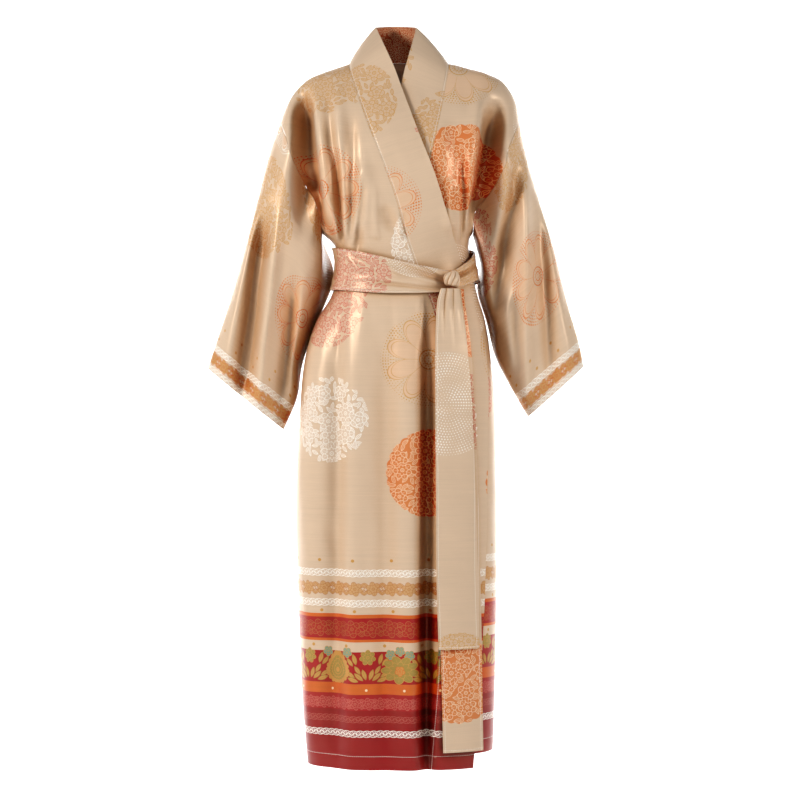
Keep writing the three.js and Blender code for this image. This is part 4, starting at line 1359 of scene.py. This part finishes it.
@node_group("Flower scroll", "X Y Period Size", "Mask Line")
def flower_scroll(shader, x, y, period, size):
    """A running vine with a flower at each half period and curled leaves between them."""
    half = period * 0.5
    local = ((x / half).fract() - 0.5) * half
    bloom = use(shader, "Flower", X=local, Y=y, Size=size, Petals=6.0, Turn=0.3)
    phase = (x / period) * TURN
    vine = y.near(phase.sin() * size * 0.6, 0.0008)
    shifted = local.abs() - half * 0.4
    leaves = use(shader, "Leaf", X=shifted, Y=y - size * 0.5, Turn=0.7, Size=size * 0.62)
    lower = use(shader, "Leaf", X=shifted, Y=y + size * 0.5, Turn=-0.9, Size=size * 0.55)
    free = 1 - bloom["Fill"]
    curl = shader.polar(shifted, y)[0].near(size * 0.3, 0.0007) * free
    mask = bloom["Fill"].most(leaves["Fill"]).most(lower["Fill"]).most(vine).most(curl)
    return mask, bloom["Line"].most(leaves["Line"].most(lower["Line"]) * free).most(curl)


@node_group("Palmettes", "X Y Ground", "Color")
def palmettes(shader, x, y, colour):
    """Teardrop palmettes and wide peonies by turns, with flowers, sprays and buds between.

    A palmette's edge is 22.2 + 2.2 |cos(9 angle)| mm from its middle, drawn out to a tip
    9.5 mm longer at its top by a bell curve.
    """
    period = 0.224
    from_palmette = x.wrapped(period)
    from_peony = (x + period / 2).wrapped(period)
    from_between = x.wrapped(period / 2)
    beside = from_between.abs()
    for across, up, turn, size in (
        (0.006, 0.168, 1.25, 0.0095),
        (0.015, 0.164, 0.75, 0.0095),
        (0.025, 0.159, 0.35, 0.0095),
        (0.017, 0.176, 1.0, 0.0085),
        (0.029, 0.168, 0.6, 0.0085),
        (0.022, 0.195, 1.3, 0.0095),
        (0.030, 0.190, 0.9, 0.0085),
    ):
        blade = use(shader, "Leaf", X=beside - across, Y=y - up, Turn=turn, Size=size)
        colour = shader.mix(blade["Fill"], colour, GOLD)
        colour = shader.mix(blade["Line"] * 0.8, colour, OLIVE)

    for across, up, size, petals, fill, line in (
        (from_palmette.abs() - 0.0205, 0.2065, 0.0092, 5.0, TEAL, GOLD),
        (from_peony.abs() - 0.0165, 0.2025, 0.0092, 5.0, TEAL, GOLD),
        (from_peony, 0.2095, 0.0088, 5.0, TEAL, GOLD),
        (from_between, 0.198, 0.0135, 7.0, OLIVE, GOLD),
        (from_peony * 0.74, 0.1765, 0.0246, 9.0, OLIVE, GOLD),
        (from_peony, 0.1745, 0.0088, 5.0, GOLD, ORANGE),
    ):
        made = use(shader, "Flower", X=across, Y=y - up, Size=size, Petals=petals, Turn=0.25)
        colour = shader.mix(made["Fill"], colour, fill)
        colour = shader.mix(made["Line"] * 0.85, colour, line)

    radius, angle = shader.polar(from_palmette, y - 0.1745)
    upright = angle - QUARTER
    tip = (upright * upright * -3.2).math("EXPONENT") * 0.0095
    edge = (angle * 9).cos().abs() * 0.0022 + tip + 0.0222
    colour = shader.mix(radius.below(edge), colour, GOLD)
    colour = shader.mix(radius.below(edge * 0.76), colour, OLIVE)
    inner = radius.near(edge * 0.58, 0.0007).most(radius.near(edge * 0.34, 0.0007))
    ribs = (angle * 9).sin().abs().below(0.16, 0.1) * radius.within(edge * 0.34, edge * 0.76)
    outline = radius.near(edge, 0.0008)
    lines = inner.most(ribs).most(outline)
    colour = shader.mix(lines, colour, GOLD)
    return shader.mix(radius.below(0.0045), colour, GOLD)


# The border above the hem, in mm from the hem, and how each stripe is coloured.
STRIPES = [
    (0, DARK_RED),
    (104, RED),
    (132, ORANGE),
    (151, RED),
    (207, covering(BEIGE, 0.0)),
    (225, ORANGE),
    (229, RED),
    (267, ORANGE),
    (272, covering(BEIGE, 0.0)),
]
# The chains of the border: from which height each is read, its middle and its height.
CHAINS = [(0, 63.5, 12), (76, 89, 12), (200, 293, 13), (325, 346, 13)]
BORDER_TOP = 400  # the ramps below are read over this height
# Where the palmettes are printed, and the one chain in rose, in metres from the hem.
PALMETTES_AT, ROSE_CHAIN_AT = (0.1515, 0.222), (0.078, 0.1)
# The scrolls: middle, flower size, period, the strength of shapes and lines, their inks.
SCROLLS = [
    (116.5, 10.5, 44, 0.16, 0.7, ROSE, ROSE),
    (248, 15, 66, 0.1, 0.7, BRONZE, BRONZE),
    (318.5, 12.5, 62, 0.75, 0.6, GOLD, BRONZE),
]
# Rows of single dots: middle, period, ink and size.
DOTS = [
    (140.5, 66, CREAM, 2.2),
    (218, 66, GOLD, 2.8),
    (279, 66, GOLD, 2.8),
    (368, 66, GOLD, 2.8),
]


@node_group("Hem border", "Place Ground", "Color")
def hem_border(shader, place, ground):
    """The printed border: stripes, palmettes, scrolls, chains of curls and rows of dots."""
    x, y = shader.split(place)
    height = y / (BORDER_TOP * MM)
    stripe, cover = shader.ramp(height, [(z / BORDER_TOP, c) for z, c in STRIPES])
    colour = shader.mix(cover, ground, stripe)
    figures = use(shader, "Palmettes", X=x, Y=y, Ground=colour)
    colour = shader.mix(y.within(*PALMETTES_AT), colour, figures["Color"])
    for middle, size, period, shapes, lines, fill, ink in SCROLLS:
        inside = y.near(middle * MM, size * 1.25 * MM)
        run = {"Period": period * MM, "Size": size * MM}
        vine = use(shader, "Flower scroll", X=x, Y=y - middle * MM, **run)
        colour = shader.mix(inside * vine["Mask"] * shapes, colour, fill)
        colour = shader.mix(inside * vine["Line"] * lines, colour, ink)

    # A ramp's red and green give each chain's middle and height, as shares.
    steps = [(z / BORDER_TOP, (up / BORDER_TOP, high / 100, 0, 1)) for z, up, high in CHAINS]
    middle, high, _ = shader.channels(shader.ramp(height, steps)[0])
    from_middle, high = y - middle * (BORDER_TOP * MM), high * (100 * MM)
    links = use(shader, "Chain", X=x, Y=from_middle, Height=high)["Mask"]
    links = links * from_middle.abs().below(high * 0.5)
    rosy = y.within(*ROSE_CHAIN_AT)
    colour = shader.mix(links * (1 - rosy), colour, WHITE)
    colour = shader.mix(links * rosy * 0.45, colour, ROSE)
    for middle, period, ink, size in DOTS:
        along = (x + middle * 3 * MM).wrapped(period * MM)
        spot = shader.polar(along, y - middle * MM)[0].below(size * MM)
        colour = shader.mix(spot, colour, ink)
    return colour


# The border above the cuff, in metres from it: the scroll's middle and half height, the
# middles of the chains and those of the rows of dots.
CUFF_SCROLL, CUFF_CHAINS, CUFF_DOTS = (0.0225, 0.0135), (0.0045, 0.0405), (0.058, 0.078)


@node_group("Cuff border", "Place Ground", "Color")
def cuff_border(shader, place, ground):
    """The sleeve's border: two white chains with a gold flower scroll between them."""
    x, y = shader.split(place)
    run = {"Period": 0.062, "Size": 0.0118}
    vine = use(shader, "Flower scroll", X=x, Y=y - CUFF_SCROLL[0], **run)
    inside = y.near(*CUFF_SCROLL)
    colour = shader.mix(inside * vine["Mask"] * 0.85, ground, GOLD)
    colour = shader.mix(inside * vine["Line"] * 0.7, colour, RUST)
    for middle in CUFF_CHAINS:
        links = use(shader, "Chain", X=x, Y=y - middle, Height=0.0115)
        colour = shader.mix(y.near(middle, 0.0058) * links["Mask"], colour, WHITE)
    for middle in CUFF_DOTS:
        spot = shader.polar((x + middle * 2).wrapped(0.052), y - middle)[0].below(0.0026)
        colour = shader.mix(spot * 0.8, colour, GOLD)
    return colour


@node_group("Satin weave", "Place Color", "Color Height Roughness")
def satin_weave(shader, place, ground):
    """Slubs run across the cloth: noise stretched along the weft, in tone and in height."""
    x, y = shader.split(place)
    slubs = shader.noise(shader.join(x * 14, y * 620), 1.0, 3.0, 0.6)
    broad = shader.noise(shader.join(x * 5, y * 150, 3.0), 1.0, 2.0)
    soft = shader.noise(shader.join(x, y, 7.0), 9.0, 3.0)
    tone = slubs * 0.16 + broad * 0.1 + soft * 0.06 + 0.84
    inputs = {0: ground, "Scale": tone}
    colour = shader.node("ShaderNodeVectorMath", inputs, operation="SCALE").outputs[0]
    return colour, slubs + broad * 0.5, slubs * 0.12 + broad * 0.1 + 0.22


@node_group("Stitch line", "Along Across Color", "Color Dip")
def stitch_line(shader, along, across, colour):
    """A row of machine stitches with the soft dip that it pulls into the cloth."""
    thread = across.abs().below(0.0005) * along.wrapped(0.0032).abs().below(0.0012)
    pull = across.abs().below(0.0008, 0.0030) * ((along * 900).sin() * 0.25 + 0.75)
    return shader.mix(thread * 0.55, colour, WHITE), pull


# ------------------------------------------------------------------ materials
SEAM_IN = 0.0035  # stitches of a seam, from its edge
TAIL_HEM = 0.004  # stitches of a tail's end, from its edge
TAIL_CLOTH = 0.071  # printed width of a tail
SHADE_REACH = 0.05  # how far round a place other cloth counts towards the painted shade in folds
SHADE_DEPTH = 1.8  # what a wholly occluded place adds to its colour's power: the deepest painted shade
UNSHADED_POWER = 0.92  # the power of the colour where nothing occludes it and no shade is painted
SLUB_HEIGHT = 0.00012  # how high the weave's slubs stand
STITCH_DIP = 0.0009  # how deep a row of stitches pulls the cloth in
SATIN_SHINE = 0.85  # the cloth's specular level


def cloth_material(name, build, roughness=0.0):
    """A satin: build(shader) gives its colour and any dips of its stitching.

    Where folds, hollows and other pieces close round the surface, an ambient occlusion factor
    raises its colour to a higher power: painted shade that darkens and deepens the colour there.
    """
    material = bpy.data.materials.new(name)
    material.use_nodes = True
    material.node_tree.nodes.clear()
    shader = Shader(material.node_tree)
    colour, dips = build(shader)
    weave = use(shader, "Satin weave", Place=place_of(shader, "print"), Color=colour)
    # Painted shade: ambient occlusion darkens the base colour where folds and other pieces close
    # round the cloth.
    inner = shader.node("ShaderNodeAmbientOcclusion", {"Distance": SHADE_REACH}, samples=8)
    shade_power = (1 - shader.read(inner)["AO"]) * SHADE_DEPTH + UNSHADED_POWER
    shaded_colour = shader.node("ShaderNodeGamma", {"Color": weave["Color"], "Gamma": shade_power})
    height = weave["Height"] * SLUB_HEIGHT - dips * STITCH_DIP
    bump = shader.node("ShaderNodeBump", {"Strength": 1.0, "Distance": 1.0, "Height": height})
    principled = shader.node(
        "ShaderNodeBsdfPrincipled",
        {
            "Base Color": shaded_colour.outputs[0],
            "Roughness": weave["Roughness"] + roughness,
            "Specular IOR Level": SATIN_SHINE,
            "Specular Tint": BEIGE,
            "Normal": bump.outputs[0],
        },
    )
    output = shader.node("ShaderNodeOutputMaterial")
    shader.tree.links.new(principled.outputs[0], output.inputs[0])
    return material


def place_of(shader, map_name):
    """A piece's place on the flat cloth, from one of its UV maps."""
    return shader.node("ShaderNodeUVMap", uv_map=map_name).outputs[0]


def stitched(shader, cloth, along, across):
    """A cloth's colour and dips with a line of stitches added."""
    colour, dips = cloth
    line = use(shader, "Stitch line", Along=along, Across=across, Color=colour)
    return line["Color"], line["Dip"] + dips


def cut_print(offset, floor, border, hem, band_seam=False):
    """A cut piece's cloth: medallions above a border, and stitching a hem from its edge."""

    def build(shader):
        place, cloth = place_of(shader, "print"), place_of(shader, "cloth")
        x, y = shader.split(cloth)
        spots = use(shader, "Medallions", Place=place, Ground=BEIGE, Offset=offset, Floor=floor)
        below = use(shader, border, Place=cloth, Ground=spots["Color"])
        printed = stitched(shader, (below["Color"], 0.0), x, y - hem)
        return stitched(shader, printed, y, x - SEAM_IN) if band_seam else printed

    return build


def sash_print(spots, tail_end=False):
    """The sash's cloth: a few medallions cut by its edges, and stitching along them.

    spots are the x, y, radius and tone of each medallion, in metres of the flat cloth.
    """

    def build(shader):
        cloth = place_of(shader, "cloth")
        x, y = shader.split(cloth)
        colour = BEIGE
        for spot_x, spot_y, radius, tone in spots:
            spot = {"X": spot_x, "Y": spot_y, "Radius": radius, "Tone": tone, "Cover": 1.0}
            colour = use(shader, "Medallion", Place=cloth, Ground=colour, **spot)["Color"]
        across, along = (x, y) if tail_end else (y, x)
        middle = (TAIL_CLOTH if tail_end else SASH_WIDTH * MM) / 2
        edge = (across - middle).abs() - (middle - SEAM_IN)
        printed = stitched(shader, (colour, 0.0), along, edge)
        return stitched(shader, printed, x, y - TAIL_HEM) if tail_end else printed

    return build


def neck_print(shader):
    """The neck band's inner side: flowers close together in cream lines on burnt orange."""
    x, y = shader.split(place_of(shader, "cloth"))
    dx, dy, _, _, number = shader.cells(x, y, 0.021, 0.7)
    bloom = use(shader, "Flower", X=dx, Y=dy, Size=0.0105, Petals=7.0, Turn=number * 9)
    lx, ly, _, _, leaf_number = shader.cells(x, y, 0.0095, 0.8)
    spray = use(shader, "Leaf", X=lx, Y=ly, Turn=leaf_number * LEAF_TURNS, Size=0.0062)
    colour = shader.mix((1 - bloom["Fill"]) * spray["Line"] * 0.7, RUST, CREAM)
    return shader.mix(bloom["Line"] * 0.75, colour, CREAM), 0.0


def plain(shader):
    """The back of the cloth, where the print doesn't come through."""
    return WRONG_SIDE, 0.0


TONE = {"coral": 0.07, "orange": 0.2, "gold": 0.34, "white": 0.46, "stippled": 0.57}
SASH_SPOTS = [
    (-0.083, 0.037, 0.068, TONE["coral"]),
    (0.022, 0.092, 0.05, TONE["stippled"]),
    (0.135, 0.045, 0.055, TONE["gold"]),
    (0.33, 0.05, 0.08, TONE["orange"]),
    (-0.3, 0.02, 0.08, TONE["white"]),
]
FRONT_TAIL_SPOTS = [
    (0.02, 0.43, 0.09, TONE["stippled"]),
    (0.036, -0.035, 0.065, TONE["gold"]),
]
BACK_TAIL_SPOTS = [
    (0.03, 0.125, 0.075, TONE["orange"]),
    (0.07, 0.76, 0.07, TONE["orange"]),
    (0.075, 0.6, 0.07, TONE["coral"]),
]
above_hem = (0.468, "Hem border", 0.024)  # lowest medallion, border, height of the stitching
above_cuff = (0.16, "Cuff border", 0.0125)
body_cloth = cloth_material("Printed satin", cut_print(0.0, *above_hem))
band_cloth = cloth_material("Printed satin band", cut_print(0.27, *above_hem, band_seam=True))
neck_inside = cloth_material("Printed satin inside the neck", neck_print)
sleeve_cloth = cloth_material("Printed satin sleeve", cut_print(0.708, *above_cuff))
lining = cloth_material("Satin wrong side", plain, roughness=0.08)
sash_cloth = cloth_material("Printed satin sash", sash_print(SASH_SPOTS))
front_tail = cloth_material("Printed satin front tail", sash_print(FRONT_TAIL_SPOTS, True))
back_tail = cloth_material("Printed satin back tail", sash_print(BACK_TAIL_SPOTS, True))

# ------------------------------------------------------------------ the garment
right = (-1, RIGHT_BAND, HEM_RIGHT_Z, overlap_lift)
left = (1, LEFT_BAND, HEM_LEFT_Z, no_lift)
satin = (body_cloth, lining, "satin")
sleeves = (sleeve_cloth, lining, "satin")
band = (band_cloth, band_cloth, "band")
tie = (sash_cloth, sash_cloth, "sash")
# Each CAD node with its piece, the materials of the cloth's two sides, and its slot. The
# last pair of a cut piece shifts its print, in metres.
pieces = {
    "back": (back_panel("back_cloth", (0.09, 0.0)), *satin),
    "front_right": (front_panel("front_right_cloth", *right, (0.04, 0.0)), *satin),
    "front_left": (front_panel("front_left_cloth", *left, (0.555, 0.0)), *satin),
    "band_right": (front_band("band_right_cloth", *right, (0.31, 0.0)), *band),
    "band_left": (front_band("band_left_cloth", *left, (0.14, 0.0)), *band),
    "band_neck": (neck_band("band_neck_cloth", (0.31, 0.0)), band_cloth, neck_inside, "band"),
    "sleeve_right": (sleeve("sleeve_right_cloth", -1, RIGHT_SLEEVE, (0.05, 0.0)), *sleeves),
    "sleeve_left": (sleeve("sleeve_left_cloth", 1, LEFT_SLEEVE, (0.2, 0.0)), *sleeves),
    "sash_wrap": (sash("sash_wrap_cloth", (0.0, 0.0)), *tie),
    "sash_knot": (knot("sash_knot_cloth", (0.0, 0.0)), *tie),
    "sash_tail_front": (
        tail("sash_tail_front_cloth", FRONT_TAIL, 3.4, 1.2, (0.1, 0.0)),
        *(front_tail, front_tail, "sash"),
    ),
    "sash_tail_back": (
        tail("sash_tail_back_cloth", BACK_TAIL, 1.2, 0.8, (0.3, 0.1)),
        *(back_tail, back_tail, "sash"),
    ),
}
for node, (piece, outside, inside, kind) in pieces.items():
    piece.data.materials.append(outside)
    piece.data.materials.append(inside)
    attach(piece, "root")
    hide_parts(node)

# Each cut piece as it lies flat, in metres: its width and length, its area where it isn't
# a rectangle, how it is held, and what carries it.
SHEETS = {
    "back": ((0.5, 1.257), 0.557, "hung", ()),
    "front_right": ((0.333, 1.274), 0.342, "hung", ("back",)),
    "front_left": ((0.267, 1.25), 0.258, "hung", ("back",)),
    "band_right": ((0.078, 1.367), None, "hung", ("front_right",)),
    "band_left": ((0.078, 1.316), None, "hung", ("front_left",)),
    "band_neck": ((0.078, 0.213), None, "hung", ("back",)),
    "sleeve_right": ((0.577, 0.462), 0.18, "hung", ("back", "front_right")),
    "sleeve_left": ((0.567, 0.454), 0.163, "hung", ("back", "front_left")),
    "sash_wrap": ((0.715, 0.08), None, "gathered", ("back", "front_right", "front_left")),
    "sash_tail_front": ((0.073, 0.632), None, "hung", ("sash_knot",)),
    "sash_tail_back": ((0.072, 0.813), None, "hung", ("sash_knot",)),
}
for node, (flat, area, held, carried_by) in SHEETS.items():
    piece = pieces[node][0]


# ------------------------------------------------------------------ studio
def backdrop():
    """A pale floor that turns up into a wall behind, seen only from its front side."""
    radius, floor_z, wall_y, top_z, reach = 0.7, -1.46, 2.2, 3.2, 6.0
    turn = np.linspace(0, QUARTER, 25)
    y = np.concatenate([[-reach], wall_y - radius + radius * np.sin(turn), [wall_y]])
    z = np.concatenate([[floor_z], floor_z + radius - radius * np.cos(turn), [top_z]])
    x = np.array([-reach, reach])
    points = vectors(x[:, None], y[None, :], z[None, :]).reshape(-1, 3)
    k = np.arange(len(y) - 1)
    faces = np.stack([k, k + 1, k + 1 + len(y), k + len(y)], -1)
    mesh = bpy.data.meshes.new("backdrop")
    mesh.from_pydata(points.tolist(), [], faces[:, ::-1].tolist())
    mesh.polygons.foreach_set("use_smooth", np.ones(len(faces), bool))
    made = bpy.data.objects.new("backdrop", mesh)
    bpy.context.scene.collection.objects.link(made)
    paper = bpy.data.materials.new("Studio paper")
    paper.use_nodes = True
    principled = paper.node_tree.nodes["Principled BSDF"]
    principled.inputs["Base Color"].default_value = (0.93, 0.93, 0.93, 1)
    principled.inputs["Roughness"].default_value = 0.9
    shader = Shader(paper.node_tree)
    see_through = shader.node("ShaderNodeBsdfTransparent").outputs[0]
    behind = shader.node("ShaderNodeNewGeometry").outputs["Backfacing"]
    sides = {0: behind, 1: principled.outputs[0], 2: see_through}
    mixed = shader.node("ShaderNodeMixShader", sides).outputs[0]
    shader.feed(paper.node_tree.nodes["Material Output"].inputs[0], mixed)
    mesh.materials.append(paper)
    return made


def soft_light(name, place, aim, size, power):
    """A square area light at a place, turned to face its aim."""
    lamp = bpy.data.lights.new(name, "AREA")
    lamp.size, lamp.energy = size, power
    made = bpy.data.objects.new(name, lamp)
    bpy.context.scene.collection.objects.link(made)
    made.location = place
    towards = np.array(aim, float) - np.array(place, float)
    flat = math.hypot(towards[0], towards[1])
    made.rotation_euler = (math.atan2(flat, -towards[2]), 0, math.atan2(-towards[0], towards[1]))
    return made


# Each soft light: where it stands, what it faces, its size and its power. The last two
# light the wall behind.
backdrop()
soft_light("key", (-2.5, -1.7, 0.7), (0, 0, -0.6), 0.8, 86)
soft_light("side", (2.5, -1.6, 0.4), (0, 0, -0.6), 0.8, 50)
soft_light("front", (0.3, -3.6, 0.6), (0, 0, -0.7), 1.2, 4)
soft_light("wall_left", (-1.5, 1.0, 0.2), (-1.2, 3.0, -0.3), 1.2, 75)
soft_light("wall_right", (1.5, 1.0, 0.2), (1.2, 3.0, -0.3), 1.2, 75)
scene = bpy.context.scene
scene.world = bpy.data.worlds.new("studio")
scene.world.use_nodes = True
sky = scene.world.node_tree.nodes["Background"]
sky.inputs["Color"].default_value = (1, 1, 1, 1)
sky.inputs["Strength"].default_value = 0.02
scene.view_settings.view_transform = "Standard"

VIEW_DISTANCE, VIEW_Z, HALF_VIEW = 4.0, -0.594, 0.72  # half the view's width at the garment
camera = bpy.data.objects.new("camera", bpy.data.cameras.new("camera"))
scene.collection.objects.link(camera)
camera.location = (0, -VIEW_DISTANCE, VIEW_Z)
camera.rotation_euler = (QUARTER, 0, 0)
camera.data.angle = 2 * math.atan(HALF_VIEW / VIEW_DISTANCE)
scene.camera = camera
